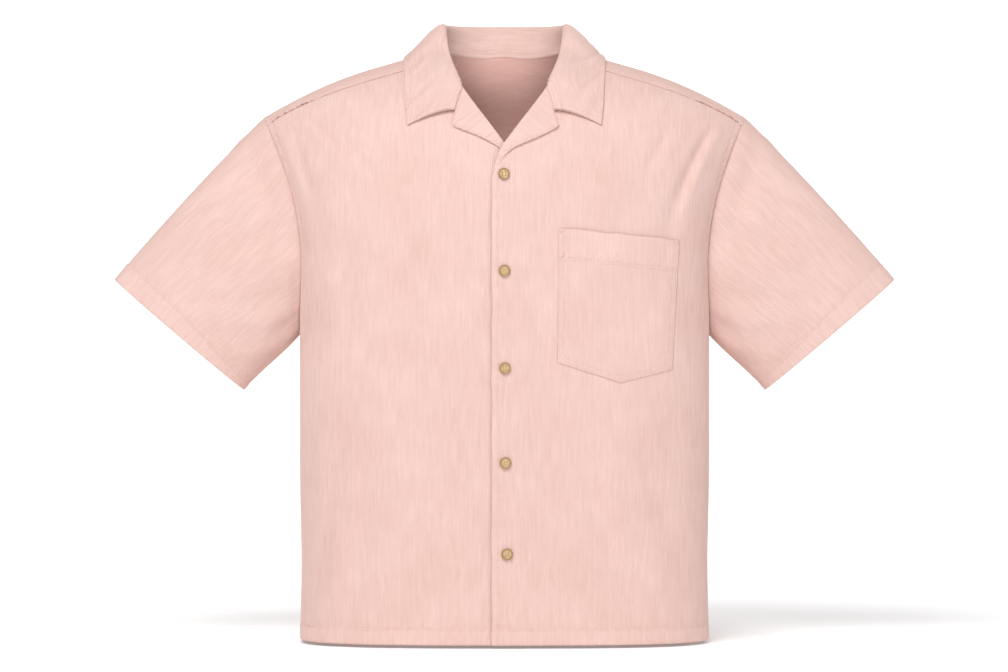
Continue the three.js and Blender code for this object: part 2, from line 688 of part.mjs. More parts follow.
// Buttons: turned discs with a raised rim and four holes, flat against the edge band
const wasm = await Module();
wasm.setup();

function toSolid(geometry) {
  geometry.deleteAttribute("normal");
  geometry.deleteAttribute("uv");
  const merged = mergeVertices(geometry, 1e-4);
  return new wasm.Manifold(
    new wasm.Mesh({
      numProp: 3,
      vertProperties: new Float32Array(merged.attributes.position.array),
      triVerts: new Uint32Array(merged.index.array),
    }),
  );
}

function buttonGeometry() {
  const { radius, thick, rim, dish, hole, holeAt } = BUTTON;
  const profile = [
    [0, 0],
    [radius - 1, 0],
    [radius, thick * 0.45],
    [radius - 0.3, thick * 0.85],
    [radius - 0.9, thick],
    [radius - rim, thick * 0.93],
    [radius - rim - 0.9, thick - dish],
    [0, thick - dish],
  ];
  let disc = toSolid(new THREE.LatheGeometry(profile.map(([r, h]) => new THREE.Vector2(r, h)), 24));
  for (const [sx, sz] of [[1, 1], [1, -1], [-1, 1], [-1, -1]]) {
    const drill = new THREE.CylinderGeometry(hole, hole, 3 * thick, 8);
    drill.translate(sx * holeAt, 0, sz * holeAt);
    disc = disc.subtract(toSolid(drill));
  }
  const { vertProperties, triVerts } = disc.getMesh();
  const geometry = new THREE.BufferGeometry();
  geometry.setAttribute("position", new THREE.BufferAttribute(new Float32Array(vertProperties), 3));
  geometry.setIndex(new THREE.BufferAttribute(new Uint32Array(triVerts), 1));
  return geometry;
}

BUTTONS.forEach(({ x, z }, i) => {
  const seat = onSide(x, z, -1, lapLift(x) + BUTTON.gap);
  const out = onSide(x, z, -1, lapLift(x) + BUTTON.gap + 1).sub(seat).normalize();
  add(`button_${i + 1}`, buttonGeometry(), horn());
  const mesh = shirt.children[shirt.children.length - 1];
  mesh.quaternion.setFromUnitVectors(new THREE.Vector3(0, 1, 0), out);
  mesh.position.copy(seat);
});

export default shirt;
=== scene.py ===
import bpy
import numpy as np
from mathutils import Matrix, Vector


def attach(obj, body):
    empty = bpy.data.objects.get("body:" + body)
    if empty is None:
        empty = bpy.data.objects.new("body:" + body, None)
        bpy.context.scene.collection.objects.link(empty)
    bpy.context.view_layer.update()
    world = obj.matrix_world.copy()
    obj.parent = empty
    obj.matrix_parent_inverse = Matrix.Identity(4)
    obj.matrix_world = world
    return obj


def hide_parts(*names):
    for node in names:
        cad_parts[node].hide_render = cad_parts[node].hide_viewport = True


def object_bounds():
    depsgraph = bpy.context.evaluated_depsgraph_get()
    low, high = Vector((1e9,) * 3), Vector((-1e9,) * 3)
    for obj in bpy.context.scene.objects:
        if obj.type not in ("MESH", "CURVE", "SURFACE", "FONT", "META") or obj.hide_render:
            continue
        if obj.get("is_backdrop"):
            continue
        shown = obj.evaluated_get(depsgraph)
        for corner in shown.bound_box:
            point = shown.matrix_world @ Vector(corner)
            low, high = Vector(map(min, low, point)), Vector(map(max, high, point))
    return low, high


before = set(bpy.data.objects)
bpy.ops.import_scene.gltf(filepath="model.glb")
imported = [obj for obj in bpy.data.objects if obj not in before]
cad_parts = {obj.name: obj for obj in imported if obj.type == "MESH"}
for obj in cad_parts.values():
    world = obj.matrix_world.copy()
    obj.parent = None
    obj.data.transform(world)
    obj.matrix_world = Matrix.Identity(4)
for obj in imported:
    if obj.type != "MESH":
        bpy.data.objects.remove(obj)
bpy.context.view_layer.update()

# Fronts
# Two panels of fine-wale cotton corduroy, cut with the wales running down. The wearer's left one laps
# over the right one; both are hemmed, set into yoke and sleeves, and topstitched beside the armhole.

RIDGE_Y = 5.0  # shoulder line and side seams
BODY_DEPTH = {-1: 128.0, 1: 122.0}  # in front of and behind the shoulder line
ROLL_HEIGHT = {-1: 230.0, 1: 200.0}  # height in which chest and back roll over to the shoulder line
SQUARENESS = 3.0
CHEST_HALF = 235.0
SHOULDER_OUT = 57.0  # by which a shoulder point lies further out than the chest's side
HEM_Z = -663.5
UNDERARM_Z = -315.0
BACK_SEAM_Z = -100.0
WALL = 1.2  # one layer of corduroy
UNDER_LAY = 2.4  # from one outer face to the next where cloth lies on cloth


def half_width(z):
    """Half the body's width: the chest's, wider by a power curve up to the shoulders, less above the
    hem."""
    rise = np.maximum(0, z + 250) / 181
    return CHEST_HALF + SHOULDER_OUT * rise**2.2 - 2 * np.exp(-(((z + 580) / 70) ** 2))


def ridge_z(x):
    """Height of the shoulder line: a straight slope, rounded at the neck and falling as a square
    outside."""
    over = np.maximum(0, np.abs(x) - 150)
    return 34.75 - 0.29 * np.hypot(x, 15) - 0.00126 * over**2


def by_side(values, side):
    """The front's value where side is -1, the back's where it is 1."""
    return np.where(side < 0, values[-1], values[1])


def angle_at(x, z, side):
    """Angle round the shoulder line at a height: a quarter turn, then height over the circle's radius."""
    roll = by_side(ROLL_HEIGHT, side)
    down = np.maximum(0, ridge_z(x) - z)
    turned = np.arccos(np.clip(1 - down / roll, -1, 1))
    return side * np.where(down < roll, turned, np.pi / 2 + (down - roll) / roll)


def body_depth(x, angle):
    """Height, and distance from the shoulder plane: a sine of the angle times an oval across the body."""
    side = np.where(angle < 0, -1, 1)
    roll = by_side(ROLL_HEIGHT, side)
    turn = np.minimum(np.abs(angle), np.pi / 2)
    z = ridge_z(x) - roll * (1 - np.cos(turn) + np.abs(angle) - turn)
    across = np.minimum(1, np.abs(x) / half_width(z))
    oval = (1 - across**SQUARENESS) ** (1 / SQUARENESS)
    return z, by_side(BODY_DEPTH, side) * np.sin(turn) * oval


# Creases of the body: side, middle, lean and bow of the line, half length, half width, depth
CREASES = [
    (-1, -228, -130, -0.27, 0, 40, 7, 7.8), (-1, 222, -104, 0.50, 0, 26, 6, 4.4),
    (-1, -163, -545, 0.17, 0, 100, 15, 5.4), (-1, 177, -515, -0.29, 0, 62, 13, 4.8),
    (-1, -95, -250, 0.10, 0, 120, 34, 3.4), (-1, 206, -138, 0.42, 0.002, 42, 7, 7.1),
    (-1, 174, -106, 0.48, 0, 30, 8, 4.1), (-1, 188, -178, 0.30, 0.003, 40, 12, 2.7),
    (-1, -197, -95, -0.95, 0.004, 26, 7, 4.4), (-1, -168, -112, -0.80, 0, 30, 8, 2.7),
    (-1, -206, -200, -0.22, 0.001, 46, 10, 4.1), (-1, -178, -256, -0.08, 0.001, 66, 12, 3.7),
    (-1, -216, -318, 0.12, 0, 46, 10, 3.7), (-1, 214, -312, -0.10, 0, 52, 11, 4.1),
    (-1, -62, -420, 0.18, 0, 95, 18, 2.2), (-1, -188, -470, 0.30, -0.001, 72, 15, 2.7),
    (-1, -206, -556, 0.13, 0, 62, 9, 4.1), (-1, -100, -610, 0.34, 0, 66, 20, 2.0),
    (-1, 103, -507, -0.26, 0, 80, 13, 4.4), (-1, 138, -580, -0.30, 0, 46, 14, 2.5),
    (-1, 190, -470, -0.22, 0, 70, 15, 2.5), (-1, 208, -600, -0.12, 0, 48, 12, 2.4),
    (-1, 70, -155, 0.60, 0, 30, 12, 1.5), (-1, -78, -180, -0.50, 0.002, 46, 14, 1.5),
    (-1, 52, -610, -0.16, 0, 44, 16, 1.5), (1, -120, -260, 0.25, 0, 120, 24, 4.4),
    (1, 135, -240, -0.30, 0, 110, 22, 3.8), (1, 20, -480, 0.12, 0, 130, 30, 3.8),
    (1, -185, -520, -0.20, 0, 90, 22, 3.1), (1, 205, -160, 0.35, 0.002, 48, 10, 3.2),
    (1, -212, -150, -0.40, -0.001, 44, 9, 3.6), (1, 172, -330, -0.16, 0.001, 66, 14, 2.2),
    (1, -150, -380, 0.20, 0, 80, 17, 2.0), (1, 96, -420, -0.24, 0, 92, 19, 2.1),
    (1, 186, -570, -0.14, 0, 62, 16, 2.4), (1, -72, -590, 0.22, 0, 58, 18, 1.9),
    (1, 60, -180, 0.10, 0.001, 60, 16, 1.8), (1, -40, -220, -0.08, 0, 74, 18, 1.5),
    (1, -11, -122, -0.10, 0, 14, 4, 2.0), (1, 118, -610, -0.20, 0, 40, 13, 1.5),
]


def crease_depth(x, z, side):
    """Sum of troughs: a bell across a leaning line and one along it, less a low ridge on the outer
    side."""
    s, x0, z0, lean, bow, length, width, depth = (
        np.array(column, float)[:, None] for column in zip(*CREASES)
    )
    flat_x, flat_z = np.ravel(x)[None], np.ravel(z)[None]
    down = flat_z - z0
    across = (flat_x - x0 - lean * down - bow * down**2) / width
    bell = np.exp(-(across**2)) - 0.35 * np.exp(-((across - 1.7 * np.sign(x0)) ** 2))
    sums = (depth * bell * np.exp(-((down / length) ** 2)) * (s == np.ravel(side)[None])).sum(axis=0)
    rim = np.minimum(1, np.abs(x) / half_width(z))
    return sums.reshape(np.shape(x)) * (1 - rim**6)


def on_body(x, angle):
    """Point of the shirt's surface: the shoulder plane plus the depth, less the creases."""
    x, angle = np.broadcast_arrays(np.asarray(x, float), angle)
    side = np.where(angle < 0, -1, 1)
    z, depth = body_depth(x, angle)
    crease = np.minimum(depth, crease_depth(x, z, side))
    return np.stack([x, RIDGE_Y + side * (depth - crease), z], axis=-1)


def unit(vectors):
    """The vectors at length 1."""
    return vectors / np.maximum(np.linalg.norm(vectors, axis=-1, keepdims=True), 1e-9)


def lifted(x, angle, lift):
    """Body point moved out along the normal, the cross product of the surface's two directions."""
    across = on_body(x + 0.5, angle) - on_body(x - 0.5, angle)
    around = on_body(x, angle + 0.004) - on_body(x, angle - 0.004)
    return on_body(x, angle) + unit(np.cross(across, around)) * np.asarray(lift, float)[..., None]


def armhole(turn):
    """Armhole at turns from the top, positive in front: an oval in side view, laid on the body by
    halving."""
    c, s = np.cos(turn), np.sin(turn)
    side = np.where(s >= 0, -1, 1)
    z = -191 + 124 * np.sign(c) * np.abs(c) ** 0.8
    depth = 46 * np.abs(s) ** 0.8
    low = np.full(np.shape(turn), CHEST_HALF / 2)
    high = np.full(np.shape(turn), CHEST_HALF + SHOULDER_OUT)
    for _ in range(40):
        x = (low + high) / 2
        inside = (z < ridge_z(x)) & (x < half_width(z))
        found = np.where(inside, body_depth(x, angle_at(x, z, side))[1], 0)
        low, high = np.where(found > depth, x, low), np.where(found > depth, high, x)
    return low, z, side


def yoke_seam_angle(x, ahead=0.0):
    """Angle of the yoke's front seam: an even distance before the shoulder line, less at its outer
    end."""
    reach = np.maximum(0, x - 114) / 157
    wanted = 45 - 22 * reach**2.2 + ahead
    angle = np.full(np.shape(x), -0.3)
    for _ in range(30):
        full = body_depth(x, angle)[1] / np.sin(-angle)
        angle = -np.arcsin(np.minimum(1, wanted / np.maximum(full, 1)))
    return angle


def under_yoke(x, angle):
    """How far a place of the front lies under the yoke: angle past the front seam times length per
    angle."""
    seam = yoke_seam_angle(np.abs(x))
    step = np.linalg.norm(on_body(x, seam + 0.005) - on_body(x, seam - 0.005), axis=-1) / 0.01
    return (angle - seam) * step


def turn_where(low, high, test):
    """Turn of the armhole at which a test stops being true, by halving."""
    for _ in range(40):
        middle = (low + high) / 2
        x, z, _ = armhole(np.array(middle))
        low, high = (middle, high) if test(x, z) else (low, middle)
    return low


FRONT_CORNER = turn_where(0.05, 1.2, lambda x, z: angle_at(x, z, -1) > yoke_seam_angle(x))
BACK_CORNER = -turn_where(0.05, 1.5, lambda x, z: z > BACK_SEAM_Z)


def hermite(a, leave_a, b, reach_b, t):
    """Cubic curve from a to b that leaves and arrives in the given directions."""
    return (
        (2 * t**3 - 3 * t**2 + 1) * a
        + (t**3 - 2 * t**2 + t) * leave_a
        + (3 * t**2 - 2 * t**3) * b
        + (t**3 - t**2) * reach_b
    )


def smooth_through(rows, at):
    """Catmull-Rom curve through rows of numbers; at counts along them, and may share their second
    axis."""
    rows = np.asarray(rows, float)
    ends = np.concatenate([[2 * rows[0] - rows[1]], rows, [2 * rows[-1] - rows[-2]]])
    k = np.clip(np.floor(at).astype(int), 0, len(rows) - 2)
    t = (at - k).reshape(k.shape + (1,) * (rows.ndim - k.ndim))
    column = np.arange(rows.shape[1]) if np.ndim(at) > 1 else slice(None)
    a, b, c, d = (ends[k + i, column] for i in range(4))
    return hermite(b, (c - a) / 2, c, (d - b) / 2, t)


# Neck seam from the centre back to the lapel: x, and the angle round the shoulder line in degrees
NECK = [
    (0, 27), (28, 25.2), (54, 18.15), (71, 9.4), (77, 0),
    (76, -10.4), (72, -20.7), (66, -31.7), (57, -36.7), (50, -41.9),
]
NECK_ROWS = len(NECK) - 1
NECK_AT_YOKE_SEAM = 6


def neck_at(row):
    """x and angle of the neck seam at a row of NECK, smooth between rows, mirrored at the centre back."""
    both = [(-x, angle) for x, angle in NECK[:0:-1]] + NECK
    x, angle = np.moveaxis(smooth_through(both, np.asarray(row, float) + NECK_ROWS), -1, 0)
    return x, np.radians(angle)


def uneven(along, pitch, start):
    """A wave that never repeats: three sines of unlike length, the longest near the pitch."""
    return (
        0.5 * np.sin(2 * np.pi * along / pitch + start)
        + 0.3 * np.sin(2 * np.pi * along / (0.61 * pitch) + 2.1 * start)
        + 0.2 * np.sin(2 * np.pi * along / (1.7 * pitch) + 0.7 * start)
    )


def groove(distance, width):
    """A bell of height 1 and half width width."""
    return np.exp(-((distance / width) ** 2))


def lengths_along(grid, axis):
    """Distance travelled along an axis of a grid of points, starting at 0."""
    steps = np.linalg.norm(np.diff(grid, axis=axis), axis=-1)
    start = np.zeros_like(np.take(steps, [0], axis=axis))
    return np.concatenate([start, np.cumsum(steps, axis=axis)], axis=axis)


def spaced(*runs):
    """Evenly spaced numbers in several runs, each given as first, last and count."""
    return np.concatenate([np.linspace(*run) for run in runs])


def facing(normals, out):
    """The normals, turned round where they point away from out."""
    return normals * np.sign((normals * out).sum(axis=-1, keepdims=True))


def linear(hex_colour):
    """sRGB hex colour as linear red, green, blue and alpha."""
    parts = np.array([int(hex_colour[i : i + 2], 16) for i in (1, 3, 5)]) / 255
    return (*np.where(parts <= 0.04045, parts / 12.92, ((parts + 0.055) / 1.055) ** 2.4), 1.0)


def add_node(material, kind, links=None, **settings):
    """Adds a shader node. Settings are inputs by name or number, or properties; links name the inputs'
    sources, each an output or a node, which stands for its first output."""
    tree = material.node_tree
    node = tree.nodes.new("ShaderNode" + kind)
    for key, value in settings.items():
        if key in node.bl_rna.properties:
            setattr(node, key, value)
        elif key.startswith("input_"):
            node.inputs[int(key[6:])].default_value = value
        else:
            node.inputs[key.replace("_", " ").title()].default_value = value
    for key, source in (links or {}).items():
        tree.links.new(getattr(source, "outputs", [source])[0], node.inputs[key])
    return node


def new_material(name):
    """A material with no nodes yet."""
    material = bpy.data.materials.new(name)
    material.use_nodes = True
    material.node_tree.nodes.clear()
    return material


WALE = 2.3  # millimetres from wale to wale, as coarse as it needs to show


def corduroy(name, cloth, shade_and_unfaded, pile):
    """Cotton corduroy, woven with cut pile in rounded wales and washed soft.

    The pile takes light at a glance, so it has sheen and no gloss. A sine across the wales gives their
    rounded backs, which fade out in patches. Noise drawn out along them breaks up the pile, and coarser
    noise leaves paler streaks from washing. Painted shade darkens the hollows between wales and the
    grooves of seams and creases; raised edges are painted paler, partly as wear and partly as painted
    highlight."""
    material = new_material(name)
    uv = add_node(material, "UVMap", uv_map="cloth")
    place = add_node(material, "SeparateXYZ", {0: uv})
    nap_place = add_node(material, "Mapping", {0: uv}, scale=(1, 0.22, 1))
    nap = add_node(material, "TexNoise", {0: nap_place}, scale=900, detail=3, roughness=0.6)
    sway = add_node(material, "TexNoise", {0: uv}, scale=60, detail=2)
    moved = add_node(material, "Math", {0: sway, 2: place}, operation="MULTIPLY_ADD", input_1=0.0005)
    across = add_node(material, "Math", {0: moved}, operation="MULTIPLY", input_1=2000 * np.pi / WALE)
    wave = add_node(material, "Math", {0: across}, operation="SINE")
    wale = add_node(
        material, "MapRange", {0: wave}, from_min=-1, from_max=0.7, interpolation_type="SMOOTHSTEP"
    )
    patches = add_node(material, "TexNoise", {0: uv}, scale=14, detail=2)
    shown = add_node(material, "MapRange", {0: patches}, from_min=0.35, from_max=0.65, to_min=0.35)
    height = add_node(material, "Math", {0: wale, 1: shown}, operation="MULTIPLY")
    pile_height = add_node(material, "Math", {0: nap, 2: height}, operation="MULTIPLY_ADD", input_1=0.9)
    bump = add_node(material, "Bump", {"Height": pile_height}, strength=pile, distance=0.0004)
    streak_place = add_node(material, "Mapping", {0: uv}, scale=(1, 0.09, 1))
    streak = add_node(material, "TexNoise", {0: streak_place}, scale=300, detail=3, roughness=0.65)
    faded = add_node(material, "Math", {0: streak, 2: patches}, operation="MULTIPLY_ADD", input_1=1.7)
    # Relief paints the colour: painted shade in seam grooves and creases, and a paler tone on raised
    # edges, partly wear and partly painted highlight.
    relief = add_node(material, "Attribute", attribute_name="relief")
    wear_and_painted_shade = add_node(
        material, "Math", {0: relief.outputs["Fac"], 2: faded}, operation="MULTIPLY_ADD", input_1=0.35
    )
    # The wales' height paints shade into the hollows between them.
    paleness = add_node(material, "Math", {0: height, 2: wear_and_painted_shade}, operation="MULTIPLY_ADD", input_1=0.22)
    tone = add_node(material, "MapRange", {0: paleness}, from_min=0.85, from_max=2.1)
    colour = add_node(
        material, "Mix", {"Factor": tone}, data_type="RGBA",
        input_6=linear(shade_and_unfaded), input_7=linear(cloth),
    )
    shader = add_node(
        material, "BsdfPrincipled", {"Base Color": colour.outputs[2], "Normal": bump},
        roughness=0.92, sheen_weight=0.25, sheen_roughness=0.45, sheen_tint=linear("#FFE6DE"),
        input_13=0.15,  # specular level
    )
    add_node(material, "OutputMaterial", {0: shader})
    return material


# Each corduroy's second colour is its darker end: painted shade in hollows and grooves, and the cloth
# where it is unfaded.
CORDUROY = corduroy("pink_corduroy", "#EBCBC3", "#D9B5AB", 0.5)
CORDUROY_BACK = corduroy("pink_corduroy_wrong_side", "#F2C9BF", "#DDB0A4", 0.3)


def grid_faces(rows, columns, ring=False):
    """Four corners of each cell of a grid of points; a ring's last column joins its first."""
    i, j = np.meshgrid(np.arange(rows - 1), np.arange(columns if ring else columns - 1), indexing="ij")
    right = (j + 1) % columns
    corners = [i * columns + j, i * columns + right, (i + 1) * columns + right, (i + 1) * columns + j]
    return np.stack(corners, axis=-1).reshape(-1, 4)


def closed_faces(rows, columns):
    """Faces of two like grids of points, the outer first, joined round their four edges."""
    outer = grid_faces(rows, columns)
    i, j, below = np.arange(rows - 1) * columns, np.arange(columns - 1), rows * columns
    last_row, last = (rows - 1) * columns, columns - 1
    rims = [
        (j + 1, j, j + below, j + 1 + below),
        (j + last_row, j + 1 + last_row, j + 1 + last_row + below, j + last_row + below),
        (i, i + columns, i + columns + below, i + below),
        (i + last + columns, i + last, i + last + below, i + last + columns + below),
    ]
    return np.concatenate([outer, outer[:, ::-1] + below, *(np.stack(rim, axis=-1) for rim in rims)])


def make_mesh(name, points, faces, material):
    """A smooth mesh from points in millimetres."""
    mesh = bpy.data.meshes.new(name)
    mesh.from_pydata((points.reshape(-1, 3) * 0.001).tolist(), [], faces.tolist())
    mesh.polygons.foreach_set("use_smooth", np.ones(len(mesh.polygons), bool))
    mesh.materials.append(material)
    piece = bpy.data.objects.new(name, mesh)
    bpy.context.scene.collection.objects.link(piece)
    return piece


def cloth_piece(name, node, grid, relief, across, along, outward, inner=None, ring=False):
    """Cloth from a grid of outer points, in place of a solid: one wall thick, or closed by an inner grid.

    across and along are distances in millimetres on the cloth, which carry the wales, and relief is the
    height of seams and puckers; the material also paints shade into its grooves and a paler tone onto its
    ridges, partly wear and partly painted highlight. outward is a rough direction out of the face at the
    middle of the grid."""
    rows, columns = grid.shape[:2]
    faces = grid_faces(rows, columns, ring) if inner is None else closed_faces(rows, columns)
    points, layers = (grid, 1) if inner is None else (np.stack([grid, inner]), 2)
    i, j = rows // 2, columns // 2
    normal = np.cross(grid[i, j + 1] - grid[i, j], grid[i + 1, j] - grid[i, j])
    if normal @ np.asarray(outward, float) < 0:
        faces = faces[:, ::-1]
    piece = make_mesh(name, points, faces, CORDUROY)
    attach(piece, "root")
    mesh = piece.data
    mesh.materials.append(CORDUROY_BACK)
    corner = np.empty(len(mesh.loops), int)
    mesh.loops.foreach_get("vertex_index", corner)
    corner %= rows * columns
    places = np.stack([np.ravel(across), np.ravel(along)], axis=-1)[corner] * 0.001
    if ring:  # the cell that closes the ring goes on past the last column
        column = corner % columns
        closing = np.repeat(np.arange(len(faces)) % columns == columns - 1, 4) & (column == 0)
        girth = np.ravel(across)[corner // columns * columns + columns - 1] * (columns / (columns - 1))
        places[closing, 0] = girth[closing] * 0.001
    mesh.uv_layers.new(name="cloth").data.foreach_set("uv", places.ravel())
    # The relief is stored for the material, which paints shade into grooves and a paler tone onto ridges
    # from it.
    heights = np.tile(np.ravel(relief), layers)
    mesh.attributes.new("relief", "FLOAT", "POINT").data.foreach_set("value", heights)
    if inner is None:
        shell = piece.modifiers.new("thickness", "SOLIDIFY")
        shell.thickness = WALL * 0.001
        shell.offset = -1
        shell.material_offset = 1
        shell.material_offset_rim = 0
    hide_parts(node)
    return piece


HEM_DEPTH = 18.0  # hem of the body
HEM_ROWS = 12  # of a hem's points, seven of them round its fold
FOLD_RADIUS = 1.4
PLACKET_EDGE_X = -14.6
ROLL_TOP = (50.0, -39.2)
SEAM_STITCH = 8.0  # topstitching, from the armhole seams
PLACKET_STITCH = 7.5  # from the front's edge
SIDE_LAP = 0.6  # by which fronts and back run past each other at the side seams
TUCK = 5.0  # cloth that goes under its neighbour at a seam
YOKE_STEP = 1.05  # by which it is lowered there


def lap_lift(x):
    """Lift of the left front where it laps over the right one: a smooth step between 40 and 15 mm."""
    t = np.clip((40 - x) / 25, 0, 1)
    return UNDER_LAY * t * t * (3 - 2 * t)


def hem_rows():
    """Distance up from the fold, and lift, of a turned hem's rows: from the raw edge round the fold."""
    inside = np.linspace(HEM_DEPTH, 2, HEM_ROWS - 7)
    round_fold = np.linspace(-np.pi / 2, np.pi / 2, 7)
    up = np.concatenate([inside, FOLD_RADIUS * (1 - np.cos(round_fold))])
    round_lift = FOLD_RADIUS * (np.sin(round_fold) - 1)
    lift = np.concatenate([np.full(len(inside), -2 * FOLD_RADIUS), round_lift])
    return up, lift


def body_rows():
    """Height and lift of the rows from the hem's raw edge up to the underarm."""
    up, lift = hem_rows()
    rest = np.concatenate([np.arange(3, 27, 2.0), np.linspace(28, UNDERARM_Z - HEM_Z, 95)[:-1]])
    return HEM_Z + np.concatenate([up, rest]), np.concatenate([lift, np.zeros(len(rest))])


def hem_relief(up, along, start):
    """Hem: a groove at its stitching, a fuller band below it and slanting puckers on both sides."""
    pucker = uneven(along + 0.5 * up, 12, start) * groove(up - HEM_DEPTH, 7) * 0.55
    band = 0.35 * np.clip((HEM_DEPTH - up) / 2, 0, 1)
    return pucker + band - 0.5 * groove(up - HEM_DEPTH, 1.5)


def seam_relief(distance, along, start):
    """Topstitched seam: doubled cloth stands up, with a groove at the stitching and one at the seam."""
    band = 0.3 * np.clip((SEAM_STITCH - distance) / 1.5, 0, 1)
    pucker = 0.4 * uneven(along + distance, 10, start) * groove(distance - SEAM_STITCH, 6)
    return band + pucker - 0.5 * groove(distance - SEAM_STITCH, 1.4) - 0.8 * groove(distance, 1.3)


LOWER_Z, LOWER_LIFT = body_rows()
UPPER_ROWS = 96
BACK_UPPER_ROWS = 70
FRONT_BEND = 4.0  # rows beside the armhole turn down to it in their last stretch
BACK_BEND = 4.0


def front_edge(upper):
    """Inner edge of a front at fractions up from the underarm: straight, the roll line, the neck seam."""
    neck_x, neck_angle = neck_at(np.array([8.0, 7.0, 6.0]))
    neck_z = body_depth(neck_x, neck_angle)[0]
    neck_z[-1] = body_depth(neck_x[-1], yoke_seam_angle(neck_x[-1]))[0]
    low, top = (0.7, -106.4), ROLL_TOP
    x = [*[PLACKET_EDGE_X] * 5, -5, low[0], *np.linspace(low[0], top[0], 4)[1:], *neck_x]
    z = [*np.linspace(UNDERARM_Z, -141, 5), -116, low[1], *np.linspace(low[1], top[1], 4)[1:], *neck_z]
    cells = np.arange(13) / 12
    return np.interp(upper, cells, x), np.interp(upper, cells, z)


def front_places():
    """x, z, lift and upper fraction of a front's points, for the wearer's left side."""
    upper = np.linspace(0, 1, UPPER_ROWS)
    edge_x, edge_z = front_edge(upper)
    hole_x, hole_z, _ = armhole(np.pi + (FRONT_CORNER - np.pi) * upper)
    start_x = np.concatenate([np.full(len(LOWER_Z), PLACKET_EDGE_X), edge_x])
    start_z = np.concatenate([LOWER_Z, edge_z])
    end_x = np.concatenate([half_width(LOWER_Z), hole_x])
    end_z = np.concatenate([LOWER_Z, hole_z])
    fraction = np.concatenate([np.zeros(len(LOWER_Z)), upper])[:, None]

    near = np.concatenate([np.arange(0, 9, 1.2), np.arange(9, 40, 2.4)])
    guess = 1 - (1 - np.linspace(0, 1, 400)) ** 3
    hem_x = PLACKET_EDGE_X + guess * (CHEST_HALF - PLACKET_EDGE_X)
    hem_line = on_body(hem_x, angle_at(hem_x, HEM_Z, -1))
    hem_length = lengths_along(hem_line, 0)
    rest = np.linspace(40, hem_length[-1], 96)
    f = np.interp(np.concatenate([near, rest]), hem_length, guess)[None]
    f[0, 0], f[0, -1] = 0, 1

    x = start_x[:, None] + f * (end_x - start_x)[:, None]
    bend = np.where(fraction > 0, FRONT_BEND + (1 - FRONT_BEND) * fraction, 1)
    z = start_z[:, None] + f**bend * (end_z - start_z)[:, None]
    line_z = start_z[-1] + f * (end_z[-1] - start_z[-1])
    line_x = start_x[-1] + f * (end_x[-1] - start_x[-1])
    rise = body_depth(line_x, yoke_seam_angle(line_x))[0] - line_z
    z = z + fraction**2 * rise
    under = [body_depth(x[-1], yoke_seam_angle(x[-1], -TUCK * part))[0] for part in (0.3, 0.65, 1)]
    x, z = np.concatenate([x, x[[-1, -1, -1]]]), np.concatenate([z, under])
    fraction = np.concatenate([fraction, np.ones((3, 1))])
    lift = np.concatenate([LOWER_LIFT, np.zeros(UPPER_ROWS + 3)])[:, None]
    return x, z, lift, fraction


def front_panel(hand):
    """Grid and relief of a front: hand is 1 for the wearer's left, -1 for the right."""
    x, z, lift, fraction = front_places()
    plain = on_body(hand * x, angle_at(x, z, -1))
    from_edge = lengths_along(plain, 1)
    to_end = from_edge[:, -1:] - from_edge
    up = z - HEM_Z
    along = lengths_along(plain, 0)
    upper = fraction > 0
    relief = hem_relief(up, from_edge, 1.3 * hand) * (lift == 0)
    relief += np.where(upper, seam_relief(to_end, along, 0.4 * hand), -0.9 * groove(to_end, 2.2))
    relief -= YOKE_STEP * np.clip((under_yoke(hand * x, angle_at(x, z, -1)) + 1.8) / 1.8, 0, 1) * upper
    straight = np.clip((0.5 - fraction) / 0.08, 0, 1)
    from_row = from_edge - PLACKET_STITCH
    stitched = 0.4 * np.clip((PLACKET_STITCH - from_edge) / 2, 0, 1) - 0.35 * groove(from_row, 1.4)
    pucker = 0.5 * uneven(z, 7.5, 2.2) * groove(from_row, 5)
    relief += straight * (stitched + pucker) - 0.8 * groove(from_edge, 0.9)
    if hand > 0:
        puffed = 0.5 + 0.35 * uneven(z, 46, 0.8)
        lift = lift + lap_lift(x) + puffed * groove(from_edge, 9) * straight
        x = x + 0.7 * uneven(z, 58, 0.4) * groove(from_edge, 14) * straight
    grid = lifted(hand * x, angle_at(x, z, -1), lift + relief)
    grid[..., 1] += SIDE_LAP * (to_end < 0.5) * ~upper
    return grid, relief, x, z


def girth_to(x, z, side):
    """Distance across the body from its middle to x, as on the chest, so that wales keep their
    spacing."""
    line = np.concatenate([np.linspace(0, 0.9, 200), 1 - np.linspace(0.316, 0, 200) ** 2]) * CHEST_HALF
    length = lengths_along(on_body(line, angle_at(line, -420.0, side)), 0)
    wider = half_width(z) / CHEST_HALF
    return np.sign(x) * np.interp(np.abs(x) / wider, line, length) * wider


fronts = {}
for name, hand in (("left_front", 1), ("right_front", -1)):
    fronts[hand], relief, x, z = front_panel(hand)
    front = cloth_piece(
        name + "_cloth", name, fronts[hand], relief,
        girth_to(x, z, -1), lengths_along(fronts[hand], 0), (0, -1, 0),
    )

# Back
# One panel of the same corduroy below the yoke, hemmed at the bottom, joined to the fronts at the sides
# and topstitched beside the armholes.


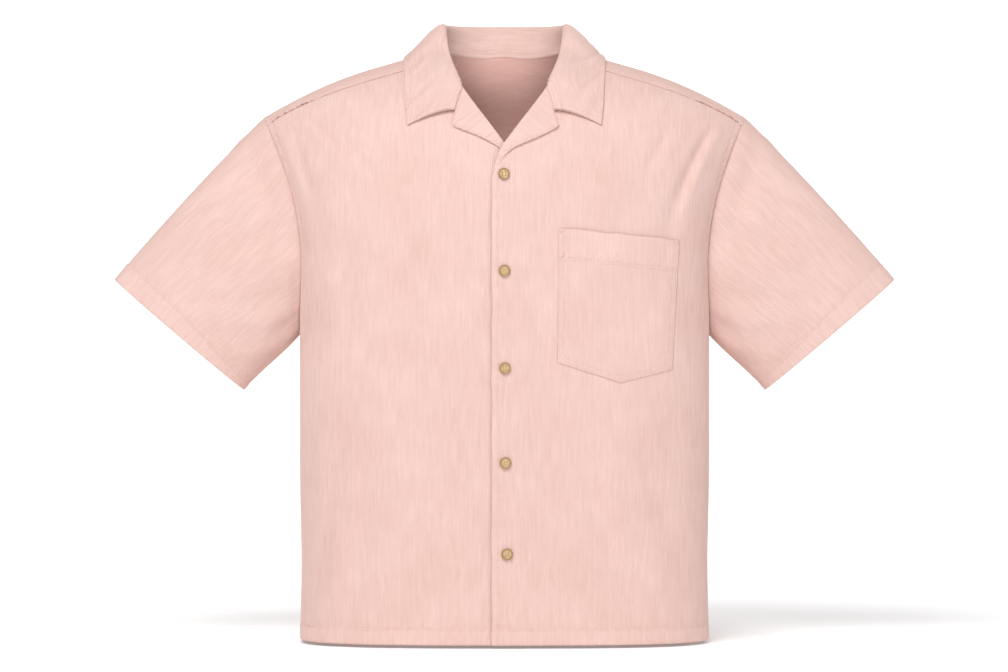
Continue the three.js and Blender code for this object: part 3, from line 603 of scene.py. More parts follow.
def back_panel():
    """Grid, relief and places of the back: rows from hem to yoke seam, bent down to the armholes."""
    upper = np.linspace(0, 1, BACK_UPPER_ROWS)
    hole_x, hole_z, _ = armhole(-np.pi + (BACK_CORNER + np.pi) * upper)
    hole_z[-1] += TUCK
    end_x = np.concatenate([half_width(LOWER_Z), hole_x])[:, None]
    end_z = np.concatenate([LOWER_Z, hole_z])[:, None]
    middle_z = np.concatenate([LOWER_Z, UNDERARM_Z + upper * (BACK_SEAM_Z + TUCK - UNDERARM_Z)])[:, None]
    fraction = np.concatenate([np.zeros(len(LOWER_Z)), upper])[:, None]
    guess = np.linspace(-1, 1, 801)
    out = 1 - (1 - np.abs(guess)) ** 3
    hem_x = CHEST_HALF * np.sign(guess) * out
    length = lengths_along(on_body(hem_x, angle_at(hem_x, HEM_Z, 1)), 0)
    f = np.interp(np.linspace(0, length[-1], 190), length, np.sign(guess) * out)[None]
    f[0, 0], f[0, -1] = -1, 1
    x = end_x * f
    z = middle_z + np.abs(f) ** BACK_BEND * (end_z - middle_z)
    lift = np.concatenate([LOWER_LIFT, np.zeros(BACK_UPPER_ROWS)])[:, None]
    plain = on_body(x, angle_at(x, z, 1))
    across = lengths_along(plain, 1)
    to_end = np.minimum(across, across[:, -1:] - across)
    along = lengths_along(plain, 0)
    upper_part = fraction > 0
    relief = hem_relief(z - HEM_Z, across, 3.1) * (lift == 0)
    relief += np.where(upper_part, seam_relief(to_end, along, 2.4), -0.9 * groove(to_end, 2.2))
    top = (along[-1:] - along) * upper_part + 99 * ~upper_part
    relief -= YOKE_STEP * np.clip((TUCK + 1.5 - top) / 2, 0, 1)
    grid = lifted(x, angle_at(x, z, 1), lift + relief)
    grid[..., 1] -= SIDE_LAP * (to_end < 0.5) * ~upper_part
    return grid, relief, x, z


back_grid, relief, x, z = back_panel()
back = cloth_piece(
    "back_cloth", "back", back_grid, relief,
    girth_to(x, z, 1), lengths_along(back_grid, 0), (0, 1, 0),
)

# Yoke
# One piece over both shoulders, its wales running from shoulder to shoulder. Fronts and back are set
# under its turned edges and topstitched.

# Places on half the yoke's outline: end of the back seam, shoulder point, armhole end of the front seam
BACK_CELL, TOP_CELL, YOKE_CELLS = 9, 14, 17
YOKE_STITCH = 6.0  # topstitching, from the yoke's edges
YOKE_AHEAD = 0.3  # by which the yoke's edge reaches past the front's


def yoke_panel():
    """Grid, relief and places: lines fanned from the neck seam to the back seam and the armholes."""
    k = np.linspace(-YOKE_CELLS, YOKE_CELLS, 261)
    cell, hand = np.abs(k), np.where(k < 0, -1.0, 1.0)
    corner_x = armhole(np.array(BACK_CORNER))[0]
    turn = np.interp(cell, [BACK_CELL, TOP_CELL, YOKE_CELLS], [BACK_CORNER, 0, FRONT_CORNER])
    hole_x, hole_z, _ = armhole(turn)
    seam_x = corner_x * cell / BACK_CELL
    out_x = np.where(cell < BACK_CELL, seam_x, hole_x)
    on_back = angle_at(np.minimum(seam_x, corner_x), BACK_SEAM_Z + 0.5, 1)
    at_hole = angle_at(hole_x, hole_z, np.where(turn < 0, 1, -1))
    out_angle = np.where(cell < BACK_CELL, on_back, at_hole)
    neck_x, neck_angle = neck_at(NECK_AT_YOKE_SEAM * cell / YOKE_CELLS)
    out_angle[[0, -1]] = yoke_seam_angle(out_x[[0, -1]], YOKE_AHEAD)
    t = spaced((0, 0.94, 62), (0.95, 1, 10))[None]
    x = neck_x[:, None] + t * (out_x - neck_x)[:, None]
    angle = neck_angle[:, None] + t * (out_angle - neck_angle)[:, None]
    follow = np.clip((cell - TOP_CELL) / 3, 0, 1)[:, None] ** 2
    angle = angle + follow * (yoke_seam_angle(x, YOKE_AHEAD) - angle)
    plain = on_body(x, angle)
    across = lengths_along(plain, 1)
    to_end = across[:, -1:] - across
    along = lengths_along(plain, 0)
    from_front = np.minimum(along, along[-1:] - along)
    seam = 0.25 * np.clip((YOKE_STITCH - to_end) / 1.5, 0, 1) - 0.3 * groove(to_end - YOKE_STITCH, 1.3)
    relief = np.where(
        cell[:, None] > BACK_CELL, seam_relief(to_end, along, 1.9), seam - 0.1 * groove(to_end, 2)
    )
    relief += 0.25 * np.clip((YOKE_STITCH - from_front) / 1.5, 0, 1)
    relief -= 0.4 * groove(from_front - YOKE_STITCH, 1.3)
    relief += 0.25 * uneven(across, 9, 1.1) * groove(from_front - 5, 5)
    return lifted(hand[:, None] * x, angle, relief), relief, hand[:, None] * x, angle


yoke_grid, relief, x, angle = yoke_panel()
yoke = cloth_piece("yoke_cloth", "yoke", yoke_grid, relief, 150 * angle, x, (0, 1, 0.5))

# Sleeves
# Short set-in sleeves, each one piece closed by a seam under the arm, with a deep turned hem. The head
# goes under the body's topstitched armhole edge.

CUFF_X, CUFF_Z = 374.6, -315.6
CUFF_HALF, CUFF_DEPTH = 98.0, 36.0
CUFF_UP = np.array([0.761, 0.0, 0.649])
SLEEVE_AXIS = np.array([0.649, 0.0, -0.761])
CUFF_HEM = 21.0
SLEEVE_LENGTH = 205.0

# Creases of a sleeve: place along it and round it, reach of both, lean, depth
SLEEVE_CREASES = [
    (0.14, 1.00, 0.060, 0.50, 0.0, 6.5), (0.40, 1.15, 0.090, 0.35, 0.0, 4.0),
    (0.16, 5.20, 0.070, 0.50, 0.0, 6.5), (0.50, 4.90, 0.100, 0.40, 0.0, 4.0),
    (0.30, 0.80, 0.200, 0.10, -0.9, 3.6), (0.26, 1.45, 0.200, 0.12, -0.8, 4.2),
    (0.34, 1.95, 0.220, 0.16, -0.7, 4.5), (0.22, 2.45, 0.170, 0.18, -0.5, 4.9),
    (0.62, 1.30, 0.180, 0.14, -0.5, 2.0), (0.58, 2.20, 0.160, 0.18, -0.5, 2.6),
    (0.30, 5.50, 0.190, 0.11, 0.9, 3.6), (0.28, 4.60, 0.210, 0.15, 0.8, 4.5),
    (0.36, 4.05, 0.200, 0.20, 0.6, 4.9), (0.66, 4.40, 0.160, 0.15, 0.5, 2.5),
]


def sleeve_panel(hand, phase):
    """Grid, relief and places of a sleeve: rings on cubics from armhole to oval cuff, creased inwards."""
    turn = np.linspace(0, 2 * np.pi, 180, endpoint=False)
    signed = np.where(turn > np.pi, turn - 2 * np.pi, turn)
    hole_x, hole_z, side = armhole(signed)
    start = on_body(hand * hole_x, angle_at(hole_x, hole_z, side)) * [hand, 1, 1]
    leave = SLEEVE_AXIS + np.stack([0 * turn, 0 * turn, 0.12 * np.maximum(0, np.cos(turn))], axis=-1)
    start = start + 0.3 * leave
    end = (
        np.array([CUFF_X, RIDGE_Y, CUFF_Z])
        + CUFF_HALF * np.cos(turn)[:, None] * CUFF_UP
        - CUFF_DEPTH * np.sin(turn)[:, None] * np.array([0, 1, 0])
    )
    reach = np.linalg.norm(end - start, axis=-1, keepdims=True)
    fold_up, fold_lift = hem_rows()
    fold_up = np.where(fold_up > 3, fold_up * CUFF_HEM / HEM_DEPTH, fold_up)
    hem = (SLEEVE_LENGTH - 28, SLEEVE_LENGTH - 3, 14)
    steps = spaced((0, 12, 9), (14, SLEEVE_LENGTH - 30, 58), hem)
    along = np.concatenate([steps, (SLEEVE_LENGTH - fold_up)[::-1]])[:, None, None] / SLEEVE_LENGTH
    lift = np.concatenate([np.zeros(len(steps)), fold_lift[::-1]])[:, None]
    grid = hermite(start, leave * reach, end, SLEEVE_AXIS * reach, along)
    tucked = start - TUCK * SLEEVE_AXIS
    grid = np.concatenate([tucked[None], grid])
    along = np.concatenate([[[[-0.02]]], along])[..., 0]
    lift = np.concatenate([[[0.0]], lift])
    centre = grid.mean(axis=1, keepdims=True)
    inwards = unit(centre - grid)
    crease = np.zeros(grid.shape[:2])
    for at, place, along_reach, round_reach, lean, depth in SLEEVE_CREASES:
        t = (along - at) / along_reach
        r = (turn[None] - place - lean * (along - at)) / round_reach
        crease += depth * (np.exp(-(r**2)) - 0.3 * np.exp(-((r - 1.6) ** 2))) * np.exp(-(t**2))
    up = (1 - along) * SLEEVE_LENGTH
    down = along * SLEEVE_LENGTH
    around = lengths_along(grid[[-HEM_ROWS]], 1)
    relief = -0.55 * groove(up - CUFF_HEM, 1.5) + 0.35 * np.clip((CUFF_HEM - up) / 2, 0, 1)
    relief = relief + 0.4 * uneven(around + 0.6 * up, 13, phase) * groove(up - CUFF_HEM, 8)
    relief = relief - 0.5 * groove(down, 2.0)
    relief = relief + 0.35 * uneven(around * 1.3, 17, phase + 1) * groove(down - 6, 12)
    relief[0] = -1.8
    relief = relief * (lift == 0)
    grid = grid + inwards * (crease - lift - relief)[..., None]
    return grid * [hand, 1, 1], relief, *np.broadcast_arrays(around, down)


sleeves = {}
for name, hand, phase in (("left_sleeve", 1, 0.7), ("right_sleeve", -1, 2.9)):
    grid, relief, across, along = sleeve_panel(hand, phase)
    sleeves[name] = grid
    half_way = grid[len(grid) // 2]
    outward = half_way[len(half_way) // 2] - half_way.mean(axis=0)
    sleeve = cloth_piece(name + "_cloth", name, grid, relief, across, along, outward, ring=True)

# Collar
# A camp collar in one piece: stand and fall roll over each other, two layers turned and pressed, with a
# double row of topstitching along the outer edge. Its ends lie flat on the fronts down to the notches.

TURNED_WALL = 2.2
COLLAR_LIFT = 4.8  # outer face over the cloth below
ROLL_RADIUS = 3.6
EDGE_LIFT = 3.0  # of the collar's outer edge over the cloth below
END_RADII = (0.6, 0.2)  # of the flat ends' inner edge, outer and inner face
STAND_STEPS = np.linspace(0, 1, 14)
LEAF_STEPS = spaced((0, 0.3, 12), (0.34, 0.84, 16), (0.86, 1, 10))

# Sections from the centre back: row of the neck seam, top of the roll, x and angle of the outer edge
COLLAR = [
    (0, 0, 70, 44, 0, 38.9),
    (1, 26, 67, 43.7, 45, 33.9),
    (2, 49, 50, 42.7, 82, 25),
    (3, 64, 27, 41.7, 106, 11.5),
    (4, 68.5, 5, 40.5, 115, 1),
    (5, 66.5, -17, 25, 115.5, -9.5),
    (6, 63.5, -35, 8, 114.5, -19.5),
    (7, 56, -62, -12, 113, -31),
    (8, 51, -74, -24, 112, -38),
]
# Sections of the flat end: x and z at the gorge seam, x and angle of the outer edge
COLLAR_END = [
    (47.5, -37.5, 111.5, -42.5),
    (50.5, -46.5, 110.5, -45),
    (53, -54.5, 110, -47.6),
    (55.3, -63, 109, -50.2),
]


def rolled(foot, roll, edge, radius):
    """Section of turned cloth: a cubic from its foot up to the roll, and one from there to its edge."""
    down, leaf = foot - roll, edge - roll
    over = unit(unit(leaf) - unit(down))

    def bend(v):
        """Length of the curve's direction at the roll, from its drop and reach and the roll's radius."""
        out = np.abs((v * over).sum(axis=-1, keepdims=True))
        drop = np.sqrt(np.maximum(0, (v * v).sum(axis=-1, keepdims=True) - out**2))
        return np.sqrt(4 * drop * radius) + out / 2

    foot, roll, edge, down, leaf = (p[:, None] for p in (foot, roll, edge, down, leaf))
    bend_down, bend_leaf = bend(down[:, 0])[:, None], bend(leaf[:, 0])[:, None]
    up = hermite(foot, -down, roll, over[:, None] * bend_down, STAND_STEPS[None, :, None])
    fall = hermite(roll, over[:, None] * bend_leaf, edge, leaf * 0.9, LEAF_STEPS[None, 1:, None])
    return np.concatenate([up, fall], axis=1)


def collar_face(depth):
    """One face of the collar, a depth below its outer one: smooth sections round the neck, both halves.

    The ends' front edges are bowed up between notch and tip."""
    neck_row, roll_x, roll_y, roll_z, edge_x, edge_angle = (np.array(c, float) for c in zip(*COLLAR))
    neck_x, neck_angle = neck_at(neck_row)
    seam = on_body(neck_x, neck_angle)
    roll = np.stack([roll_x, roll_y, roll_z], axis=-1)
    edge = lifted(edge_x, np.radians(edge_angle), EDGE_LIFT - depth)
    up = unit(roll - seam)
    leaf = edge - roll
    out = unit(leaf - up * (leaf * up).sum(axis=-1, keepdims=True))
    foot = seam - 1.0 * up + (depth - TURNED_WALL) * out
    around = rolled(foot, roll - depth * up, edge, ROLL_RADIUS - depth)
    x, z, edge_x, edge_angle = (np.array(c, float) for c in zip(*COLLAR_END))
    edge = lifted(edge_x, np.radians(edge_angle), EDGE_LIFT - depth)
    if depth == 0:
        foot = lifted(x, angle_at(x, z, -1), COLLAR_LIFT - TURNED_WALL + 0.2)
        roll = lifted(x, angle_at(x, z, -1), COLLAR_LIFT)
        flat = rolled(foot, roll + 0.01 * (edge - roll), edge, END_RADII[0])
    else:
        low = lifted(x, angle_at(x, z, -1), COLLAR_LIFT - depth)
        flat = rolled(low + 0.015 * (edge - low), low + 0.035 * (edge - low), edge, END_RADII[1])
    half = np.concatenate([around, flat])
    both = np.concatenate([half[:0:-1] * [-1, 1, 1], half])
    last = len(both) - 1
    t = np.concatenate([np.zeros(len(STAND_STEPS)), LEAF_STEPS[1:]])
    bow = 0.36 * np.sin(np.pi * t)
    place = np.linspace(-1, 1, 260)[:, None]
    return smooth_through(both, last / 2 * (1 + place * (1 - bow / (last / 2))))


def raised(grid, relief, out):
    """The grid moved along its own normals by relief; out is a rough direction out of the face."""
    across = np.gradient(grid, axis=1)
    along = np.gradient(grid, axis=0)
    return grid + facing(unit(np.cross(across, along)), out) * relief[..., None]


def turned_edge(distance, along, phase, rows):
    """Turned and pressed edge: rounded at the rim, a groove at each stitch row, puckers between them."""
    relief = -0.8 * groove(distance, 0.8)
    for row in rows:
        relief = relief - 0.42 * groove(distance - row, 1.0)
    return relief + 0.4 * uneven(along + distance, 9, phase) * groove(distance - rows[-1], 5)


COLLAR_STITCHES = (2.2, 6.2)
STAND_STITCHES = (4.0, 7.5)  # from the neck seam
plain = collar_face(0)
across = lengths_along(plain, 1)
along = lengths_along(plain, 0)
to_edge = across[:, -1:] - across
to_end = np.minimum(along, along[-1:] - along)
on_leaf = np.arange(plain.shape[1])[None] > len(STAND_STEPS) + 6
edge = np.where(on_leaf, np.minimum(to_edge, to_end), 20)
collar_relief = turned_edge(edge, along + across, 0.9, COLLAR_STITCHES)
drag = uneven(0.8 * along + 0.6 * across, 24, 1.7) * groove(to_edge - 20, 16) * on_leaf
collar_relief += 0.8 * drag
on_stand = np.arange(plain.shape[1])[None] < len(STAND_STEPS)
collar_relief -= 0.35 * sum(groove(across - row, 1.1) for row in STAND_STITCHES) * on_stand
for at, lean in ((0.31, 0.9), (0.335, 0.7), (0.655, -0.8), (0.68, -0.9)):
    middle = at * along[-1:] + lean * (across - 18)
    crease = np.linspace(0, 1, len(plain))[:, None] * along[-1:] - middle
    collar_relief -= 0.9 * groove(crease, 2.6) * groove(across - 18, 9) * on_stand
outwards = plain - np.array([0, 5, -20])
collar_points = raised(plain, collar_relief, outwards)
collar = cloth_piece(
    "collar_cloth", "collar", collar_points, collar_relief, across, along,
    (0, 1, 0.2), inner=raised(collar_face(TURNED_WALL), -0.4 * groove(to_edge, 0.8), outwards),
)

# Lapels
# The top of each front with its facing, turned back along the roll line and pressed, its edge rounded at
# the tip.

# Sections from the bottom: x and z of the roll, x and z of the outer edge, height over the front. The
# left one fades into the front's edge, the right one goes under the left front, and both go under the
# collar's ends.
LEFT_LAPEL = [
    (-13, -136, -11.8, -137, 0.3), (-10.4, -124, -6.5, -126.5, 1.2), (-6.5, -112.5, -1, -117.5, 2.2),
    (-2.5, -104, 6, -110, 2.9), (3, -96.5, 13, -105.5, 3.3), (11, -85.5, 25, -100, 3.4),
    (20, -73.5, 38, -94, 3.4), (29, -61.5, 52, -87, 3.4), (37, -50.5, 60.5, -81, 3.4),
    (42, -43.5, 57.5, -73, 3.2), (46.5, -37, 56, -64, 2.7), (50, -31, 60, -57, 2.2),
]
RIGHT_LAPEL = [
    (-2, -103, 1.5, -109.5, 0.9), (3, -96.5, 8, -104.5, 2.4), (8, -89.5, 15.5, -100, 3.2),
    (14, -81.5, 25, -95, 3.4), (21, -72, 36, -90, 3.4), (29, -61.5, 48, -85.5, 3.4),
    (36, -52, 58, -80.5, 3.4), (41, -45, 57, -72.5, 3.2), (46.5, -37, 56, -64, 2.7),
    (50, -31, 60, -57, 2.2),
]
LAPEL_STITCH = 2.4


def lapel_faces(table, hand):
    """Outer and inner face of a lapel on the front: its roll is a half round as high as the lapel."""
    rows = smooth_through(table, np.linspace(0, len(table) - 1, 110))
    x, z, edge_x, edge_z, height = (rows[:, k, None] for k in range(5))
    t = spaced((0, 0.12, 10), (0.15, 0.85, 20), (0.88, 1, 10))[None]
    place_x, place_z = x + t * (edge_x - x), z + t * (edge_z - z)
    half = height / 2
    from_roll = np.minimum(1, t * np.hypot(edge_x - x, edge_z - z) / half)
    swell = np.sqrt(1 - (1 - from_roll) ** 2)
    base = lap_lift(place_x) if hand > 0 else 0 * place_x
    angle = angle_at(place_x, place_z, -1)
    outer = lifted(hand * place_x, angle, base + half * (1 + swell))
    distance = lengths_along(outer, 1)
    distance = distance[:, -1:] - distance
    along = lengths_along(outer, 0)
    relief = turned_edge(distance, along, 1.1 * hand, (LAPEL_STITCH,)) * np.minimum(1, height / 3)
    outer = lifted(hand * place_x, angle, base + half * (1 + swell) + relief)
    inner = lifted(hand * place_x, angle, base + half - (half - 0.15) * swell)
    return outer, inner, relief, 0.8 * place_z + 0.6 * place_x, along


for name, table, hand, cut, area in (
    ("left_lapel", LEFT_LAPEL, 1, (0.14, 0.036), 0.0027),
    ("right_lapel", RIGHT_LAPEL, -1, (0.105, 0.034), 0.0022),
):
    outer, inner, relief, across, along = lapel_faces(table, hand)
    lapel = cloth_piece(name + "_cloth", name, outer, relief, across, along, (0, -1, 0.2), inner=inner)

# Pocket
# A patch pocket with a pointed bottom and a stitched top band, its edges turned under and sewn on the
# left front by twin rows, with a bar tack at each top corner.

POCKET_TOP = ((60.0, -196.0), (197.0, -209.0))
POCKET_LOW = ((59.0, -347.0), (189.0, -355.0))
POCKET_TIP = (130.0, -370.0)
POCKET_BAND = 33.0
POCKET_STITCHES = (1.8, 6.6)  # from its edges
BAND_STITCHES = (-2.0, 2.0)  # from the lower edge of its band


def pocket_places(across, down):
    """x and z of the pocket at fractions across it and down it; the lower edge falls to a point."""
    (x0, z0), (x1, z1) = POCKET_TOP
    (low_x0, low_z0), (low_x1, low_z1) = POCKET_LOW
    top_x, top_z = x0 + across * (x1 - x0), z0 + across * (z1 - z0)
    low_x = low_x0 + across * (low_x1 - low_x0)
    low_z = np.interp(low_x, [low_x0, POCKET_TIP[0], low_x1], [low_z0, POCKET_TIP[1], low_z1])
    return top_x + down * (low_x - top_x), top_z + down * (low_z - top_z)


across_steps = spaced((0, 0.06, 9), (0.075, 0.925, 72), (0.94, 1, 9))
down_steps = spaced((0, 0.05, 8), (0.065, 0.945, 78), (0.955, 1, 8))
pocket_across, pocket_down = np.meshgrid(across_steps, down_steps)
pocket_x, pocket_z = pocket_places(pocket_across, pocket_down)
pocket_z = pocket_z + 0.9 * uneven(pocket_x, 40, 0.3) * groove(pocket_down, 0.05)
plain = on_body(pocket_x, angle_at(pocket_x, pocket_z, -1))
from_left = lengths_along(plain, 1)
from_top = lengths_along(plain, 0)
side_distance = np.minimum(from_left, from_left[:, -1:] - from_left)
low_distance = from_top[-1:] - from_top
edge = np.minimum(side_distance, low_distance)
pocket_relief = turned_edge(edge, from_left + from_top, 0.5, POCKET_STITCHES)
band = from_top - POCKET_BAND
for row in BAND_STITCHES:
    pocket_relief -= 0.42 * groove(band - row, 0.9)
pocket_relief += 0.3 * np.clip(-band / 2, 0, 1)
pocket_relief += 0.55 * uneven(from_left + 0.9 * from_top, 8, 2.6) * groove(band + 3, 5)
pocket_relief -= 0.6 * groove(from_top, 0.9)
body_of_pocket = np.clip(edge / 12, 0, 1)
pocket_lift = 1.3 + 0.7 * body_of_pocket + 0.5 * groove(from_top, 14) * body_of_pocket
pocket_points = lifted(pocket_x, angle_at(pocket_x, pocket_z, -1), pocket_lift + pocket_relief)
pocket = cloth_piece(
    "pocket_cloth", "pocket", pocket_points, pocket_relief,
    girth_to(pocket_x, pocket_z, -1), from_top, (0, -1, 0),
)

# Stitching
# Pink cotton-wrapped thread, three millimetres a stitch: topstitching beside seams, hems, edges and the
# pocket, and bar tacks. Each stitch is a small round bar that lies in its groove.


def sample(grid, row, column):
    """Points and normals of a grid at fractional rows and columns, straight between its points."""
    row, column = np.broadcast_arrays(np.asarray(row, float), column)
    i = np.clip(np.floor(row).astype(int), 0, grid.shape[0] - 2)
    j = np.clip(np.floor(column).astype(int), 0, grid.shape[1] - 2)
    a, b = (row - i)[..., None], (column - j)[..., None]
    low = grid[i, j] * (1 - b) + grid[i, j + 1] * b
    high = grid[i + 1, j] * (1 - b) + grid[i + 1, j + 1] * b
    normal = unit(np.cross(grid[i, j + 1] - grid[i, j], grid[i + 1, j] - grid[i, j]))
    return low * (1 - a) + high * a, normal


STITCH = 3.0
THREAD = 0.42  # radius of a stitch


def stitches(path, normal, length=2.1, pitch=STITCH, radius=THREAD):
    """Points and faces of bars along a path: four rings of six corners each, thin at both ends."""
    distance = lengths_along(path, 0)
    count = max(1, int(distance[-1] / pitch))
    at = (np.arange(count) + 0.5) * distance[-1] / count

    def at_distance(values, place):
        """The path's points or normals at distances along it."""
        return np.stack([np.interp(place, distance, values[:, k]) for k in range(3)], axis=-1)

    tangent = unit(at_distance(path, at + 0.5) - at_distance(path, at - 0.5))[:, None, None]
    side = unit(np.cross(tangent, unit(at_distance(normal, at))[:, None, None]))
    up = np.cross(side, tangent)
    ring = (np.arange(6) * np.pi / 3)[None, None, :, None]
    spans = (np.array([-0.5, -0.3, 0.3, 0.5]) * length)[None, :, None, None]
    sizes = (np.array([0.35, 1, 1, 0.35]) * radius)[None, :, None, None]
    points = at_distance(path, at)[:, None, None] + tangent * spans
    points = points + (side * np.cos(ring) + up * np.sin(ring)) * sizes
    one = grid_faces(4, 6, ring=True)[:, ::-1]
    faces = (one[None] + 24 * np.arange(count)[:, None, None]).reshape(-1, 4)
    return points.reshape(-1, 3), faces


def sewing(name, lines):
    """One piece of stitching from several lines, each (points, faces)."""
    offsets = np.cumsum([0] + [len(points) for points, _ in lines[:-1]])
    points = np.concatenate([points for points, _ in lines])
    faces = np.concatenate([faces + start for (_, faces), start in zip(lines, offsets)])
    piece = make_mesh(name, points, faces, THREAD_PINK)
    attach(piece, "root")


def thread(name, colour, deep):
    """Spun cotton thread, matt with a faint sheen; fine noise stands for its twisted fibres."""
    material = new_material(name)
    body = add_node(material, "TexCoord")
    fibre = add_node(material, "TexNoise", {0: body.outputs["Object"]}, scale=2500, detail=2)
    mix = add_node(
        material, "Mix", {"Factor": fibre}, data_type="RGBA", input_6=linear(deep), input_7=linear(colour)
    )
    shader = add_node(
        material, "BsdfPrincipled", {"Base Color": mix.outputs[2]},
        roughness=0.7, sheen_weight=0.3, sheen_roughness=0.4,
    )
    add_node(material, "OutputMaterial", {0: shader})
    return material


THREAD_PINK = thread("pink_thread", "#F6DCD4", "#E6C3B9")


def column_at(distance, wanted):
    """Fractional column of each row at which a distance that grows along the row reaches wanted."""
    j = np.clip((distance < wanted).sum(axis=1) - 1, 0, distance.shape[1] - 2)
    rows = np.arange(distance.shape[0])
    low, high = distance[rows, j], distance[rows, j + 1]
    return j + (wanted - low) / (high - low)


def on_grid(grid, rows, columns, out, lift=0.1):
    """Path and normals over a grid at fractional rows and columns, lifted a little toward out's side."""
    path, normal = sample(grid, rows, columns)
    normal = facing(normal, out)
    return path + lift * normal, normal


def row_on(grid, rows, columns, out, **sizes):
    """Stitches over a grid at fractional rows and columns."""
    return stitches(*on_grid(grid, rows, columns, out), **sizes)


def from_start_and_end(grid, inset):
    """Fractional columns of each row that lie a distance from its start, and from its end."""
    length = lengths_along(grid, 1)
    return column_at(length, inset), column_at(length - length[:, -1:], -inset)


lines = []
lower = len(LOWER_Z)
hem_row = np.interp(HEM_DEPTH, LOWER_Z[HEM_ROWS:] - HEM_Z, np.arange(HEM_ROWS, lower))
for hand, grid in fronts.items():
    columns = np.linspace(1, grid.shape[1] - 1.5, 400)
    lines.append(row_on(grid, np.full(400, hem_row), columns, (0, -1, 0)))
    rows = np.arange(lower + 1, len(grid) - 1)
    lines.append(row_on(grid, rows, from_start_and_end(grid, SEAM_STITCH)[1][rows], (hand, -1, 0)))
    rows = np.arange(HEM_ROWS, lower + int(0.42 * UPPER_ROWS))
    lines.append(row_on(grid, rows, from_start_and_end(grid, PLACKET_STITCH)[0][rows], (0, -1, 0)))
columns = np.linspace(1, back_grid.shape[1] - 2, 700)
lines.append(row_on(back_grid, np.full(700, hem_row), columns, (0, 1, 0)))
rows = np.arange(lower + 1, len(back_grid) - 1)
for seam in from_start_and_end(back_grid, SEAM_STITCH):
    lines.append(row_on(back_grid, rows, seam[rows], (0, 1, 0)))
sewing("body_stitching", lines)

cell = np.abs(np.linspace(-YOKE_CELLS, YOKE_CELLS, len(yoke_grid)))
rows = np.flatnonzero(cell <= BACK_CELL)
lines = [row_on(yoke_grid, rows, from_start_and_end(yoke_grid, YOKE_STITCH)[1][rows], (0, 1, 0.3))]
for rows in np.split(np.flatnonzero(cell > BACK_CELL), 2):
    seam = from_start_and_end(yoke_grid, SEAM_STITCH)[1]
    lines.append(row_on(yoke_grid, rows, seam[rows], (0, 0.1, 1)))
columns = np.arange(1, yoke_grid.shape[1] - 1)
for rows in from_start_and_end(yoke_grid.swapaxes(0, 1), YOKE_STITCH):
    lines.append(row_on(yoke_grid, rows[columns], columns, (0, -0.3, 1)))
sewing("yoke_stitching", lines)

lines = []
for grid in sleeves.values():
    ring = np.concatenate([grid, grid[:, :1]], axis=1)
    down = lengths_along(ring, 0)
    rows = column_at((down - down[[-HEM_ROWS]])[: 1 - HEM_ROWS].T, -CUFF_HEM)
    columns = np.linspace(0, ring.shape[1] - 1.001, 700)
    path, normal = sample(ring, np.interp(columns, np.arange(ring.shape[1]), rows), columns)
    normal = facing(normal, path - path.mean(axis=0))
    lines.append(stitches(path + 0.1 * normal, normal))
sewing("sleeve_stitching", lines)

lines = []
count = len(collar_points)
for inset in COLLAR_STITCHES:
    row_at_end = np.interp(inset, lengths_along(collar_points[:, -20:-19], 0)[:, 0], np.arange(count))
    rows = np.linspace(row_at_end, count - 1 - row_at_end, 600)
    columns = np.interp(rows, np.arange(count), from_start_and_end(collar_points, inset)[1])
    lines.append(row_on(collar_points, rows, columns, (0, 0, 1)))
for inset in STAND_STITCHES:
    rows = np.arange(8, count - 8)
    seam = from_start_and_end(collar_points, inset)[0]
    path, normal = on_grid(collar_points, rows, seam[rows], (0, 0, 1))
    normal = facing(normal, np.array([0, -20, 20]) - path)
    lines.append(stitches(path + 0.1 * normal, normal))
sewing("collar_stitching", lines)

lines = []
side_length, down_length = lengths_along(pocket_points, 1), lengths_along(pocket_points, 0)
down_count, side_count = side_length.shape
front_side = (0, -1, 0)
for inset in POCKET_STITCHES:
    stop = int(np.interp(inset, down_length[-1, 0] - down_length[::-1, 0], np.arange(down_count)))
    rows = np.arange(1, down_count - 1 - stop)
    for column in from_start_and_end(pocket_points, inset):
        lines.append(row_on(pocket_points, rows, column[rows], front_side))
    low = column_at((down_length - down_length[-1:]).T, -inset)
    columns = np.linspace(stop, side_count - 1 - stop, 200)
    low_rows = np.interp(columns, np.arange(side_count), low)
    lines.append(row_on(pocket_points, low_rows, columns, front_side))
columns = np.arange(1, side_count - 1)
for row in BAND_STITCHES:
    band_rows = column_at(down_length.T, POCKET_BAND + row)
    lines.append(row_on(pocket_points, band_rows[columns], columns, front_side))
for start, stop in ((2.0, 7.5), (-7.5, -2.0)):  # bar tacks, from the left side and from the right one
    for down in (1.4, 2.6, 3.8):
        place = np.linspace(start, stop, 8)
        place = np.where(place < 0, side_length[2, -1] + place, place)
        columns = np.interp(place, side_length[2], np.arange(side_count))
        row = np.full(8, np.interp(down, down_length[:, 5], np.arange(down_count)))
        lines.append(row_on(pocket_points, row, columns, front_side, length=5.6, pitch=5.4, radius=0.5))
sewing("pocket_stitching", lines)

# Buttons
# Four-hole buttons cut from horn-look resin and polished. They keep the shape of their solids, and the
# thread through their holes is left out.


